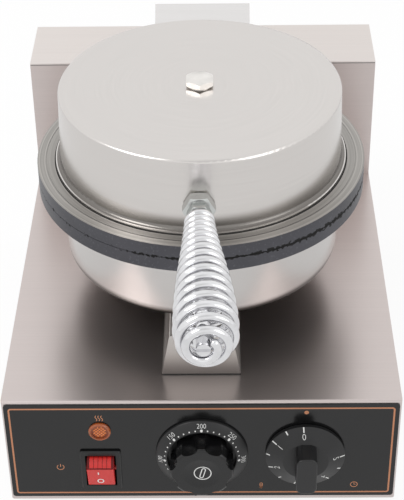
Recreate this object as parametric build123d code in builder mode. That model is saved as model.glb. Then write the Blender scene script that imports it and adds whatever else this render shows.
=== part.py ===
from build123d import *
import os
from math import ceil, cos, hypot, pi, radians, sin, sqrt, tan

os.makedirs("parts", exist_ok=True)

# Electric krumkake iron: a folded sheet-steel base with a rear tower, a fixed lower baking pot on a
# tapered pedestal, and an upper baking pot that swings up and back on a hinge in the tower.
# Millimetres. +X is the cook's right, +Y the back, +Z up. The feet stand on Z = 0, and the origin is
# below the middle of the whole iron.

# ---- Driving dimensions ------------------------------------------------------------------------

# Base box and tower
base_width = 250.0
base_depth = 258.5          # front face to the tower's front
base_height = 84.2          # from the sheet's lower edge
tower_depth = 58.5
tower_height = 180.3        # from the sheet's lower edge
sheet = 1.2                 # steel sheet
fold_radius = 1.8           # outside of a fold
flange_width = 13.0
seat_gap = 0.3              # play between sheets that slide into each other
foot_height = 10.0
foot_radius = 12.5
foot_inset = 32.0
foot_taper = 6.0
foot_recess_play = 1.5      # round the screw's head
foot_nut_flats = 7.0
foot_nut_height = 3.2
foot_screw_proud = 6.0      # above the bottom plate

# Baking pots
rim_back_gap = 20.1         # rims to the tower's front
parting_height = 175.0      # plane between the two baking plates, from the sheet's lower edge
parting_gap = 0.3
rim_radius = 106.4
rim_thickness = 9.05
lower_pot_radius = 90.3
lower_pot_depth = 49.7
lower_pot_corner = 6.5
upper_pot_radius = 90.0     # at the top
upper_pot_draft = 1.3       # how much wider the wall is at its foot
upper_pot_depth = 49.8
upper_pot_corner = 2.0
pot_wall = 1.0
lip_reach = 3.0             # flared lip at the foot of the upper pot
lip_thickness = 1.3
bake_radius = 98.0
bake_recess = 1.4
turned_groove_inset = 5.9   # fine ring in the upper rim, from its edge
turned_groove_width = 0.6
turned_groove_depth = 0.2
groove_pitch = 16.0
groove_width = 2.0
groove_depth = 1.6
hub_depth = 6.0             # plate body inside the pot
plate_play = 0.4

# Heating stack inside each pot
stack_inset = 14.3          # clamp plate and insulation inside the plate's hub
element_inset = 16.0        # ring inside the clamp plate's edge
element_tube = 4.0
leg_hole_play = 1.0
element_leg_angle = 14.0
element_leg = 26.0
clamp_thickness = 2.0
insulation_thickness = 16.0
centre_bolt_radius = 5.0
bolt_thread_depth = 8.0
bolt_head_flats = 17.0
bolt_head_height = 5.0
bolt_head_bevel = 4.0       # how far the turned chamfer runs down the corners
bolt_head_flat_edge = 0.6

# Pedestal under the lower pot
pedestal_front = 25.5       # behind the base's front face
pedestal_back_gap = 23.5    # ahead of the tower
pedestal_half_width = 25.0
pedestal_taper = 9.5        # degrees each side
pedestal_wall = 2.0
pedestal_tab = 13.0
pedestal_tab_length = 20.0
pedestal_tab_places = (-22.0, 62.0)

# Hinge
hinge_behind = 11.0         # behind the tower's front
hinge_drop = -1.0           # hinge axis above the parting plane
pin_radius = 4.0
pin_running_gap = 0.05
pin_end = 2.8
pin_edge = 0.6
clip_thickness = 1.0
clip_radius = 6.5
arm_half_width = 34.5
arm_thickness = 3.0
arm_tail_angle = 34.0
arm_tail_length = 37.6
arm_bend_ahead = 4.0
arm_edge = 0.5
cheek_radius = 8.5
ear_radius = 6.8
ear_thickness = 3.0
bracket_height = 44.0
bracket_top_drop = 8.0
bracket_bolt_spread = 36.0
bracket_bolt_pitch = 25.0
lug_half_width = 30.0
lug_reach = 15.6            # behind the rim
arm_bolt_spread = 36.0
arm_bolt_inset = 7.0        # ahead of the lug's back
slot_half_width = 40.0
slot_back_gap = 3.0

# Handle
handle_height = 29.5        # above the parting plane
handle_length = 135.6       # pot wall to the rod's tip
handle_lean = 1.6           # degrees, toward the cook's right
rod_radius = 4.0
wire_radius = 2.5
coil_start = 16.3           # from the pot wall
coil_widest = 120.5
coil_end = 133.9
coil_start_pitch = 5.1
coil_widest_pitch = 9.2
coil_end_pitch = 5.3
coil_start_radius = 6.9     # to the wire's centre
coil_max_radius = 15.7
coil_end_radius = 6.7
coil_aside = 1.6            # the widest turns hang this far to the right of the rod
coil_sharpness = 0.85
coil_first_turn = 228.0       # degrees, where the wire starts
coil_steps = 10             # points in each turn of the wire
profile_steps = 4000        # pieces that the coil's profile is measured in
jam_nut_flats = 17.5
jam_nut_height = 7.5
jam_nut_corner = 0.8        # corners turned down to this much past the flats
collar_flats = 13.0
collar_height = 5.5
inner_nut_flats = 13.0
inner_nut_height = 6.0
rod_inner_end = 1.0         # past the inner nut
nut_gap = 0.6               # nuts' flat faces to the round wall
end_nut_flats = 11.0
end_nut_height = 5.0
end_nut_back = 2.9          # behind the coil's last turn
end_slot_width = 2.0
end_slot_depth = 1.2

# Control panel
fascia_side_gap = 1.4       # to the base's sides
fascia_top_gap = 1.7        # below the base's top
fascia_corner = 2.0
fascia_thickness = 1.0
fascia_bottom = 3.3         # above the sheet's lower edge
control_height = 41.0       # dial axes above the sheet's lower edge

lamp_inset = 60.8           # from the base's left side
lamp_height = 60.8
lamp_ring_radius = 7.0
lamp_ring_height = 1.8
lamp_ring_edge = 0.6
lens_facets = 12
lens_slope = 50.0
lamp_barrel_radius = 5.0
lamp_barrel_length = 20.0
lamp_lens_radius = 5.6
lamp_lens_height = 3.2
lamp_nut_flats = 14.0
lamp_nut_height = 4.0

switch_inset = 60.2         # from the base's left side
switch_height = 28.0
bezel_width = 26.0
bezel_height = 33.0
bezel_thickness = 2.0
bezel_corner = 1.5
bezel_edge = 0.7
switch_wall = 1.4
switch_body_depth = 26.0
switch_window_width = 19.6
rocker_width = 17.0
rocker_radius = 11.8        # swing of the rocker's ends about its pivot
rocker_face = 7.4           # face above the pivot
rocker_gap = 1.2
rocker_tilt = 15.0
rocker_pivot_depth = 1.2    # behind the fascia's front
rocker_back = 7.0
trunnion_radius = 1.5
trunnion_length = 2.1
terminal_width = 6.3
terminal_thickness = 0.8
terminal_length = 9.0

dial_radius = 29.2
dial_thickness = 2.2
dial_well_radius = 21.5     # shallow well round the knob
dial_well_depth = 0.8
dial_hub_radius = 8.0
dial_edge = 1.0
knob_radius = 20.0
knob_front = 18.5           # face in front of the fascia
knob_gap = 0.4
knob_flutes = 8
flute_radius = 9.0
flute_bite = 2.6
knob_edge = 2.0
knob_turn = 22.5            # first flute, counter-clockwise from the right
dish_radius = 12.0          # hollow in the knob's face
dish_depth = 1.0
nib_angle = 257.0           # pointer in the off position, counter-clockwise from the right
nib_width = 2.5
nib_reach = 1.5
thermostat_width = 40.0
thermostat_height = 44.0
thermostat_depth = 28.0
thermostat_corner = 3.0
thermostat_screw_spread = 28.0

timer_inset = 59.3          # from the base's right side
skirt_radius = 25.2
skirt_edge = 2.4
cone_radius = 14.5
cone_height = 7.5
grip_width = 13.0
grip_length = 29.0
grip_edge = 1.0
timer_front = 22.0          # grip in front of the fascia
timer_can_radius = 22.0
timer_can_edge = 2.0
timer_depth = 34.0
timer_screw_spread = 28.0

shaft_radius = 3.0
shaft_flat = 0.8
shaft_bore_play = 0.04
shaft_in_knob = 10.0
shaft_in_body = 12.0
panel_screw_radius = 1.9
panel_screw_head = 3.6
panel_screw_head_height = 1.4
panel_screw_sink = 0.2

# Fastenings and fittings
screw_radius = 2.0
screw_head_radius = 4.0
screw_head_height = 2.2
screw_length = 8.0
hex_radius = 3.0            # M6 shank
hex_flats = 10.0
hex_head_height = 4.0
hole_play = 0.25
cover_screw_inset = 7.0
cover_screw_margin = 22.0   # from the tower's top and foot
bottom_screw_pitch = 110.0
gland_inset = 45.0          # from the base's right side
gland_height = 32.0
gland_bore = 4.1
gland_radius = 8.0
gland_flange_radius = 12.0
gland_flange_thickness = 3.0
gland_nose = 12.0
gland_taper = 8.0
gland_edge = 0.8
gland_inside = 12.0
gland_nut_flats = 22.0
gland_nut_height = 5.0
vent_length = 34.0
vent_width = 3.5
vent_pitch = 9.0
vent_count = 6
terminal_block_width = 46.0
terminal_block_depth = 22.0
terminal_block_height = 16.0
terminal_block_aside = 60.0 # beside the gland
pole_gap = 3.0
terminal_poles = 3
wire_hole_radius = 15.0

# ---- Places worked out from them ---------------------------------------------------------------

pot_setback = base_depth - rim_radius - rim_back_gap
rim_top_height = parting_gap / 2 + rim_thickness
handle_drop = rim_top_height + seat_gap + upper_pot_depth - handle_height
handle_wall_radius = upper_pot_radius + upper_pot_draft * handle_drop / upper_pot_depth
handle_side = sin(radians(handle_lean))
handle_ahead = cos(radians(handle_lean))
tip_reach = handle_length * handle_ahead + rod_radius * handle_side
reach_ahead = tip_reach - (pot_setback - handle_wall_radius)
reach_behind = base_depth + tower_depth + gland_flange_thickness + gland_nose
front_y = (reach_ahead - reach_behind) / 2
fascia_y = front_y - fascia_thickness
tower_front_y = front_y + base_depth
back_y = tower_front_y + tower_depth
shell_back_y = back_y - sheet
pot_y = front_y + pot_setback
hinge_y = tower_front_y + hinge_behind

base_z = foot_height
base_top_z = base_z + base_height
tower_top_z = base_z + tower_height
shell_top_z = tower_top_z - sheet
parting_z = base_z + parting_height
hinge_z = parting_z - hinge_drop
lower_rim_top_z = parting_z - parting_gap / 2
lower_rim_z = lower_rim_top_z - rim_thickness
upper_rim_z = parting_z + parting_gap / 2
upper_rim_top_z = upper_rim_z + rim_thickness
lower_pot_z = lower_rim_z - lower_pot_depth
upper_pot_top_z = upper_rim_top_z + seat_gap + upper_pot_depth
handle_z = parting_z + handle_height
wall_y = pot_y - handle_wall_radius
control_z = base_z + control_height
half_width = base_width / 2
inner_half_width = half_width - sheet
lamp_x = lamp_inset - half_width
switch_x = switch_inset - half_width
timer_x = half_width - timer_inset
gland_x = half_width - gland_inset
hub_radius = min(lower_pot_radius, upper_pot_radius) - pot_wall - plate_play
clamp_radius = hub_radius - stack_inset
element_radius = clamp_radius - element_inset
upper_foot_radius = upper_pot_radius + upper_pot_draft
lip_radius = upper_foot_radius + lip_reach
fascia_width = base_width - 2 * fascia_side_gap
fascia_height = base_height - fascia_bottom - fascia_top_gap
pot_axis = Axis((0, pot_y, 0), (0, 0, 1))
switch_body_width = switch_window_width + 2 * switch_wall
switch_window_height = 2 * (rocker_radius + rocker_gap)
switch_body_height = switch_window_height + 2 * switch_wall


def facing_front(y, x=0.0, z=0.0):
    """Plane at depth y that looks out of the front: sketch x is +X, sketch y is +Z."""
    return Plane(origin=(x, y, z), x_dir=(1, 0, 0), z_dir=(0, -1, 0))


def facing_back(y, x=0.0, z=0.0):
    """Plane at depth y that looks out of the back: sketch x is -X, sketch y is +Z."""
    return Plane(origin=(x, y, z), x_dir=(-1, 0, 0), z_dir=(0, 1, 0))


def across_handle(reach):
    """Plane square to the handle, this far ahead of the pot's wall: sketch y is +Z."""
    return Plane(
        origin=(reach * handle_side, wall_y - reach * handle_ahead, handle_z),
        x_dir=(handle_ahead, handle_side, 0),
        z_dir=(handle_side, -handle_ahead, 0),
    )


def level(z, x=0.0, y=0.0):
    """Level plane at height z."""
    return Plane(origin=(x, y, z), x_dir=(1, 0, 0), z_dir=(0, 0, 1))


def hexagon(flats):
    """Hexagon of a nut or bolt head, sized across its flats, with a corner on sketch y."""
    return RegularPolygon(radius=flats / 2, side_count=6, major_radius=False, rotation=30)


# ---- Base box ----------------------------------------------------------------------------------

rear_flange_z = (base_z + tower_top_z) / 2
cover_screw_x = inner_half_width - cover_screw_inset
cover_screw_heights = (
    base_z + cover_screw_margin,
    rear_flange_z,
    tower_top_z - cover_screw_margin,
)
bottom_z = base_z + sheet
bottom_screw_x = inner_half_width - flange_width / 2
bottom_screw_y = (front_y + sheet + shell_back_y) / 2
foot_x = half_width - foot_inset
foot_y = bottom_screw_y
foot_pitch_y = shell_back_y - front_y - 2 * foot_inset
pedestal_screw_x = pedestal_half_width + pedestal_tab / 2
bracket_z = hinge_z - bracket_top_drop - bracket_height / 2

with BuildPart() as base_shell:
    with BuildSketch(Plane.YZ):
        with BuildLine():
            Polyline(
                (front_y, base_z),
                (shell_back_y, base_z),
                (shell_back_y, shell_top_z),
                (tower_front_y, shell_top_z),
                (tower_front_y, base_top_z),
                (front_y, base_top_z),
                close=True,
            )
        make_face()
    extrude(amount=half_width, both=True)
    front_folds = edges().filter_by(Axis.Z).group_by(Axis.Y)[0]
    top_folds = edges().filter_by(Axis.X).filter_by(lambda e: abs(e.center().Z - base_top_z) < sheet)
    top_front_fold = top_folds.sort_by(Axis.Y)[0]
    fillet(front_folds + [top_front_fold], radius=fold_radius)
    with BuildSketch(Plane.YZ):
        with BuildLine():
            Polyline(
                (front_y + sheet, base_z - sheet),
                (shell_back_y + sheet, base_z - sheet),
                (shell_back_y + sheet, shell_top_z + sheet),
                (tower_front_y + sheet, shell_top_z + sheet),
                (tower_front_y + sheet, base_top_z - sheet),
                (front_y + sheet, base_top_z - sheet),
                close=True,
            )
        make_face()
    extrude(amount=inner_half_width, both=True, mode=Mode.SUBTRACT)
    # flanges that the bottom plate and the rear cover are screwed to
    with BuildSketch(level(bottom_z)):
        with Locations((0, bottom_screw_y)):
            Rectangle(2 * inner_half_width, shell_back_y - front_y - sheet)
            Rectangle(
                2 * (inner_half_width - flange_width),
                shell_back_y - front_y,
                mode=Mode.SUBTRACT,
            )
    extrude(amount=sheet)
    with BuildSketch(facing_front(shell_back_y)):
        with Locations((0, (bottom_z + shell_top_z) / 2)):
            Rectangle(2 * inner_half_width, shell_top_z - bottom_z)
            Rectangle(
                2 * (inner_half_width - flange_width),
                shell_top_z,
                mode=Mode.SUBTRACT,
            )
    extrude(amount=sheet)
    # openings for the controls
    with BuildSketch(facing_front(front_y)):
        with Locations((switch_x, base_z + switch_height)):
            Rectangle(switch_body_width + 2 * hole_play, switch_body_height + 2 * hole_play)
        with Locations((lamp_x, base_z + lamp_height)):
            Circle(lamp_barrel_radius + hole_play)
        with Locations((0, control_z), (timer_x, control_z)):
            Circle(shaft_radius + hole_play)
            with GridLocations(thermostat_screw_spread, 0, 2, 1):
                Circle(panel_screw_radius + hole_play)
    extrude(amount=-2 * sheet, mode=Mode.SUBTRACT)
    # wire hole and pedestal screws in the top
    with BuildSketch(level(base_top_z)):
        with Locations((0, pot_y)):
            Circle(wire_hole_radius)
        for place in pedestal_tab_places:
            with Locations((-pedestal_screw_x, pot_y + place), (pedestal_screw_x, pot_y + place)):
                Circle(screw_radius + hole_play)
    extrude(amount=-2 * sheet, mode=Mode.SUBTRACT)
    # hinge bracket bolts in the tower front
    with BuildSketch(facing_front(tower_front_y)):
        with Locations((0, bracket_z)):
            with GridLocations(bracket_bolt_spread, bracket_bolt_pitch, 2, 2):
                Circle(hex_radius + hole_play)
    extrude(amount=-2 * sheet, mode=Mode.SUBTRACT)
    # cover and bottom screws in the flanges
    with BuildSketch(facing_front(shell_back_y)):
        for height in cover_screw_heights:
            with Locations((-cover_screw_x, height), (cover_screw_x, height)):
                Circle(screw_radius)
    extrude(amount=sheet, mode=Mode.SUBTRACT)
    with BuildSketch(level(bottom_z)):
        with Locations((0, bottom_screw_y)):
            with GridLocations(2 * bottom_screw_x, bottom_screw_pitch, 2, 3):
                Circle(screw_radius)
    extrude(amount=sheet, mode=Mode.SUBTRACT)
base_shell.part.label = "base_shell"
export_step(base_shell.part, "parts/base_shell.step")

with BuildPart() as tower_cover:
    with BuildSketch(Plane.YZ):
        with BuildLine():
            Polyline(
                (tower_front_y, tower_top_z),
                (back_y, tower_top_z),
                (back_y, base_z),
                (shell_back_y, base_z),
                (shell_back_y, shell_top_z),
                (tower_front_y, shell_top_z),
                close=True,
            )
        make_face()
    extrude(amount=half_width, both=True)
    back_fold = edges().filter_by(Axis.X).group_by(Axis.Z)[-1].sort_by(Axis.Y)[-1]
    fillet(back_fold, radius=fold_radius)
    # slot that the lid arm swings down through
    with BuildSketch(level(tower_top_z)):
        with Locations((0, tower_front_y)):
            Rectangle(2 * slot_half_width, 2 * (tower_depth - slot_back_gap))
    extrude(amount=-2 * sheet, mode=Mode.SUBTRACT)
    with BuildSketch(facing_back(back_y)):
        for height in cover_screw_heights:
            with Locations((-cover_screw_x, height), (cover_screw_x, height)):
                Circle(screw_radius + hole_play)
        with Locations((-gland_x, base_z + gland_height)):
            Circle(gland_radius + hole_play)
        with Locations((0, rear_flange_z)):
            with GridLocations(2 * vent_length, vent_pitch, 2, vent_count):
                SlotOverall(vent_length, vent_width)
    extrude(amount=-2 * sheet, mode=Mode.SUBTRACT)
tower_cover.part.label = "tower_cover"
export_step(tower_cover.part, "parts/tower_cover.step")

with BuildPart() as bottom_plate:
    with BuildSketch(level(base_z)):
        with Locations((0, bottom_screw_y)):
            Rectangle(
                2 * (inner_half_width - seat_gap),
                shell_back_y - front_y - sheet - 2 * seat_gap,
            )
            with GridLocations(2 * foot_x, foot_pitch_y, 2, 2):
                Circle(screw_radius + hole_play, mode=Mode.SUBTRACT)
            with GridLocations(2 * bottom_screw_x, bottom_screw_pitch, 2, 3):
                Circle(screw_radius + hole_play, mode=Mode.SUBTRACT)
            with GridLocations(2 * vent_length, vent_pitch, 2, vent_count):
                SlotOverall(vent_length, vent_width, mode=Mode.SUBTRACT)
    extrude(amount=sheet)
bottom_plate.part.label = "bottom_plate"
export_step(bottom_plate.part, "parts/bottom_plate.step")

foot_recess_radius = screw_head_radius + foot_recess_play
foot_recess_depth = foot_height / 2

with BuildPart() as rubber_feet:
    with BuildSketch(level(foot_height)):
        with Locations((0, foot_y)):
            with GridLocations(2 * foot_x, foot_pitch_y, 2, 2):
                Circle(foot_radius)
    extrude(amount=-foot_height, taper=foot_taper)
    with BuildSketch(level(0)):
        with Locations((0, foot_y)):
            with GridLocations(2 * foot_x, foot_pitch_y, 2, 2):
                Circle(foot_recess_radius)
    extrude(amount=foot_recess_depth, mode=Mode.SUBTRACT)
    with BuildSketch(level(0)):
        with Locations((0, foot_y)):
            with GridLocations(2 * foot_x, foot_pitch_y, 2, 2):
                Circle(screw_radius + hole_play)
    extrude(amount=foot_height, mode=Mode.SUBTRACT)
rubber_feet.part.label = "rubber_feet"
export_step(rubber_feet.part, "parts/rubber_feet.step")

with BuildPart() as foot_screws:
    with BuildSketch(level(foot_recess_depth)):
        with Locations((0, foot_y)):
            with GridLocations(2 * foot_x, foot_pitch_y, 2, 2):
                Circle(screw_head_radius)
    extrude(amount=-screw_head_height)
    with BuildSketch(level(foot_recess_depth)):
        with Locations((0, foot_y)):
            with GridLocations(2 * foot_x, foot_pitch_y, 2, 2):
                Circle(screw_radius)
    extrude(amount=foot_height - foot_recess_depth + sheet + foot_screw_proud)
foot_screws.part.label = "foot_screws"
export_step(foot_screws.part, "parts/foot_screws.step")

with BuildPart() as foot_nuts:
    with BuildSketch(level(bottom_z)):
        with Locations((0, foot_y)):
            with GridLocations(2 * foot_x, foot_pitch_y, 2, 2):
                hexagon(foot_nut_flats)
                Circle(screw_radius, mode=Mode.SUBTRACT)
    extrude(amount=foot_nut_height)
foot_nuts.part.label = "foot_nuts"
export_step(foot_nuts.part, "parts/foot_nuts.step")

with BuildPart() as cover_screws:
    with BuildSketch(facing_back(back_y)):
        for height in cover_screw_heights:
            with Locations((-cover_screw_x, height), (cover_screw_x, height)):
                Circle(screw_head_radius)
    extrude(amount=screw_head_height)
    fillet(edges().group_by(Axis.Y)[-1], radius=screw_head_height / 2)
    with BuildSketch(facing_back(back_y)):
        for height in cover_screw_heights:
            with Locations((-cover_screw_x, height), (cover_screw_x, height)):
                Circle(screw_radius)
    extrude(amount=-screw_length)
cover_screws.part.label = "cover_screws"
export_step(cover_screws.part, "parts/cover_screws.step")

with BuildPart() as bottom_screws:
    with BuildSketch(level(base_z)):
        with Locations((0, bottom_screw_y)):
            with GridLocations(2 * bottom_screw_x, bottom_screw_pitch, 2, 3):
                Circle(screw_head_radius)
    extrude(amount=-screw_head_height)
    fillet(edges().group_by(Axis.Z)[0], radius=screw_head_height / 2)
    with BuildSketch(level(base_z)):
        with Locations((0, bottom_screw_y)):
            with GridLocations(2 * bottom_screw_x, bottom_screw_pitch, 2, 3):
                Circle(screw_radius)
    extrude(amount=screw_length)
bottom_screws.part.label = "bottom_screws"
export_step(bottom_screws.part, "parts/bottom_screws.step")

# ---- Pedestal and lower pot --------------------------------------------------------------------

pedestal_height = lower_pot_z - base_top_z
pedestal_length = base_depth - pedestal_back_gap - pedestal_front
pedestal_front_y = front_y + pedestal_front
pedestal_lean = tan(radians(pedestal_taper))
pedestal_top_half = pedestal_half_width - pedestal_height * pedestal_lean

with BuildPart() as pedestal:
    with BuildSketch(facing_front(pedestal_front_y)):
        with BuildLine():
            Polyline(
                (-pedestal_half_width, base_top_z),
                (pedestal_half_width, base_top_z),
                (pedestal_top_half, lower_pot_z),
                (-pedestal_top_half, lower_pot_z),
                close=True,
            )
        make_face()
    extrude(amount=-pedestal_length)
    fillet(edges().filter_by(Axis.Y).group_by(Axis.Z)[-1], radius=pedestal_wall)
    with BuildSketch(facing_front(pedestal_front_y + pedestal_wall)):
        with BuildLine():
            Polyline(
                (pedestal_wall - pedestal_half_width, base_top_z),
                (pedestal_half_width - pedestal_wall, base_top_z),
                (pedestal_top_half - pedestal_wall, lower_pot_z - pedestal_wall),
                (pedestal_wall - pedestal_top_half, lower_pot_z - pedestal_wall),
                close=True,
            )
        make_face()
    extrude(amount=2 * pedestal_wall - pedestal_length, mode=Mode.SUBTRACT)
    # tabs that screw down on the base
    with BuildSketch(level(base_top_z)):
        for side in (-1, 1):
            for place in pedestal_tab_places:
                with Locations((side * (pedestal_screw_x - pedestal_wall / 2), pot_y + place)):
                    Rectangle(pedestal_tab + pedestal_wall, pedestal_tab_length)
    extrude(amount=pedestal_wall)
    with BuildSketch(level(base_top_z)):
        for side in (-1, 1):
            for place in pedestal_tab_places:
                with Locations((side * pedestal_screw_x, pot_y + place)):
                    Circle(screw_radius + hole_play)
    extrude(amount=pedestal_wall, mode=Mode.SUBTRACT)
    # wire hole and centre bolt hole in the top
    with BuildSketch(level(lower_pot_z)):
        with Locations((0, pot_y)):
            Circle(centre_bolt_radius + hole_play)
        with Locations((0, pot_y + element_radius)):
            SlotOverall(2 * pedestal_top_half - 4 * pedestal_wall, 4 * element_tube)
    extrude(amount=-pedestal_wall, mode=Mode.SUBTRACT)
pedestal.part.label = "pedestal"
export_step(pedestal.part, "parts/pedestal.step")

with BuildPart() as pedestal_screws:
    for side in (-1, 1):
        for place in pedestal_tab_places:
            with BuildSketch(level(base_top_z + pedestal_wall, side * pedestal_screw_x, pot_y + place)):
                Circle(screw_head_radius)
            extrude(amount=screw_head_height)
            with BuildSketch(level(base_top_z + pedestal_wall, side * pedestal_screw_x, pot_y + place)):
                Circle(screw_radius)
            extrude(amount=-screw_length)
pedestal_screws.part.label = "pedestal_screws"
export_step(pedestal_screws.part, "parts/pedestal_screws.step")

with BuildPart() as lower_pot:
    with Locations((0, pot_y, lower_pot_z)):
        Cylinder(
            lower_pot_radius,
            lower_pot_depth,
            align=(Align.CENTER, Align.CENTER, Align.MIN),
        )
    fillet(edges().group_by(Axis.Z)[0], radius=lower_pot_corner)
    offset(amount=-pot_wall, openings=faces().sort_by(Axis.Z)[-1])
    with BuildSketch(level(lower_pot_z)):
        with Locations((0, pot_y)):
            Circle(centre_bolt_radius + hole_play)
        with Locations((0, pot_y + element_radius)):
            SlotOverall(2 * pedestal_top_half - 4 * pedestal_wall, 4 * element_tube)
    extrude(amount=pot_wall, mode=Mode.SUBTRACT)
lower_pot.part.label = "lower_pot"
export_step(lower_pot.part, "parts/lower_pot.step")

# ---- Baking plates -----------------------------------------------------------------------------

groove_lines = 2 * ceil(bake_radius / groove_pitch)
lower_hub_z = lower_rim_z - hub_depth
upper_hub_z = upper_rim_top_z + hub_depth


def diamond_plane(z):
    """Level plane at height z over the pots' axis, turned so that the grid lies as diamonds."""
    return Plane(origin=(0, pot_y, z), x_dir=(1, 1, 0), z_dir=(0, 0, 1))


def groove_grid():
    """Crossing grooves that press the raised diamonds into the cake."""
    with GridLocations(groove_pitch, 0, groove_lines, 1):
        Rectangle(groove_width, 2 * bake_radius)
    with GridLocations(0, groove_pitch, 1, groove_lines):
        Rectangle(2 * bake_radius, groove_width)
    Circle(bake_radius - groove_width, mode=Mode.INTERSECT)


with BuildPart() as lower_baking_plate:
    with BuildSketch(facing_front(pot_y)):
        with BuildLine():
            Polyline(
                (0, lower_hub_z),
                (hub_radius, lower_hub_z),
                (hub_radius, lower_rim_z),
                (rim_radius, lower_rim_z),
                (rim_radius, lower_rim_top_z),
                (bake_radius, lower_rim_top_z),
                (bake_radius - bake_recess, lower_rim_top_z - bake_recess),
                (0, lower_rim_top_z - bake_recess),
                close=True,
            )
        make_face()
    revolve(axis=pot_axis)
    with BuildSketch(diamond_plane(lower_rim_top_z - bake_recess)):
        groove_grid()
    extrude(amount=-groove_depth, mode=Mode.SUBTRACT)
    with BuildSketch(level(lower_hub_z)):
        with Locations((0, pot_y)):
            Circle(centre_bolt_radius)
    extrude(amount=bolt_thread_depth, mode=Mode.SUBTRACT)
lower_baking_plate.part.label = "lower_baking_plate"
export_step(lower_baking_plate.part, "parts/lower_baking_plate.step")

lug_back = rim_radius + lug_reach
arm_bolt_y = pot_y + lug_back - arm_bolt_inset
turned_groove_radius = rim_radius - turned_groove_inset

with BuildPart() as upper_baking_plate:
    with BuildSketch(facing_front(pot_y)):
        with BuildLine():
            Polyline(
                (0, upper_hub_z),
                (hub_radius, upper_hub_z),
                (hub_radius, upper_rim_top_z),
                (rim_radius, upper_rim_top_z),
                (rim_radius, upper_rim_z),
                (bake_radius, upper_rim_z),
                (bake_radius - bake_recess, upper_rim_z + bake_recess),
                (0, upper_rim_z + bake_recess),
                close=True,
            )
        make_face()
    revolve(axis=pot_axis)
    # lug that the lid arm is bolted on
    with BuildSketch(level(upper_rim_z)):
        with Locations((0, pot_y + lug_back)):
            Rectangle(
                2 * lug_half_width,
                lug_back - bake_radius,
                align=(Align.CENTER, Align.MAX),
            )
        with Locations((0, pot_y)):
            Circle(bake_radius + groove_width, mode=Mode.SUBTRACT)
    extrude(amount=rim_thickness)
    with BuildSketch(diamond_plane(upper_rim_z + bake_recess)):
        groove_grid()
    extrude(amount=groove_depth, mode=Mode.SUBTRACT)
    with BuildSketch(level(upper_hub_z)):
        with Locations((0, pot_y)):
            Circle(centre_bolt_radius)
    extrude(amount=-bolt_thread_depth, mode=Mode.SUBTRACT)
    with BuildSketch(level(upper_rim_top_z)):
        with Locations((0, arm_bolt_y)):
            with GridLocations(arm_bolt_spread, 0, 2, 1):
                Circle(hex_radius)
    extrude(amount=-rim_thickness, mode=Mode.SUBTRACT)
    # fine turned groove in the rim's top
    with BuildSketch(level(upper_rim_top_z)):
        with Locations((0, pot_y)):
            Circle(turned_groove_radius + turned_groove_width / 2)
            Circle(turned_groove_radius - turned_groove_width / 2, mode=Mode.SUBTRACT)
    extrude(amount=-turned_groove_depth, mode=Mode.SUBTRACT)
upper_baking_plate.part.label = "upper_baking_plate"
export_step(upper_baking_plate.part, "parts/upper_baking_plate.step")

# ---- Heating stack, the same in both pots: element, clamp plate, insulation, centre bolt --------

leg_turn = radians(element_leg_angle)
leg_x = element_radius * sin(leg_turn)
leg_y = pot_y + element_radius * cos(leg_turn)
leg_hole_radius = element_tube + leg_hole_play
ring_start = (-cos(leg_turn), -sin(leg_turn), 0)


def stack_disc():
    """Round plate over the pots' axis with holes for the centre bolt and the element's legs."""
    with Locations((0, pot_y)):
        Circle(clamp_radius)
        Circle(centre_bolt_radius + hole_play, mode=Mode.SUBTRACT)
    with Locations((-leg_x, leg_y), (leg_x, leg_y)):
        Circle(leg_hole_radius, mode=Mode.SUBTRACT)


lower_clamp_z = lower_hub_z - 2 * element_tube
upper_clamp_z = upper_hub_z + 2 * element_tube
lower_insulation_z = lower_clamp_z - clamp_thickness
upper_insulation_z = upper_clamp_z + clamp_thickness

lower_tube_z = lower_hub_z - element_tube

with BuildPart() as lower_element:
    with BuildSketch(Plane(origin=(-leg_x, leg_y, lower_tube_z), z_dir=ring_start)):
        Circle(element_tube)
    revolve(axis=pot_axis, revolution_arc=360 - 2 * element_leg_angle)
    with Locations((-leg_x, leg_y, lower_tube_z), (leg_x, leg_y, lower_tube_z)):
        Sphere(element_tube)
        Cylinder(element_tube, element_leg, align=(Align.CENTER, Align.CENTER, Align.MAX))
lower_element.part.label = "lower_element"
export_step(lower_element.part, "parts/lower_element.step")

with BuildPart() as upper_element:
    add(lower_element.part)
    mirror(about=level(parting_z), mode=Mode.REPLACE)
upper_element.part.label = "upper_element"
export_step(upper_element.part, "parts/upper_element.step")

with BuildPart() as lower_clamp_plate:
    with BuildSketch(level(lower_clamp_z)):
        stack_disc()
    extrude(amount=-clamp_thickness)
lower_clamp_plate.part.label = "lower_clamp_plate"
export_step(lower_clamp_plate.part, "parts/lower_clamp_plate.step")

with BuildPart() as upper_clamp_plate:
    with BuildSketch(level(upper_clamp_z)):
        stack_disc()
    extrude(amount=clamp_thickness)
upper_clamp_plate.part.label = "upper_clamp_plate"
export_step(upper_clamp_plate.part, "parts/upper_clamp_plate.step")

with BuildPart() as lower_insulation:
    with BuildSketch(level(lower_insulation_z)):
        stack_disc()
    extrude(amount=-insulation_thickness)
lower_insulation.part.label = "lower_insulation"
export_step(lower_insulation.part, "parts/lower_insulation.step")

with BuildPart() as upper_insulation:
    with BuildSketch(level(upper_insulation_z)):
        stack_disc()
    extrude(amount=insulation_thickness)
upper_insulation.part.label = "upper_insulation"
export_step(upper_insulation.part, "parts/upper_insulation.step")

lower_bolt_z = lower_pot_z - pedestal_wall

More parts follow.
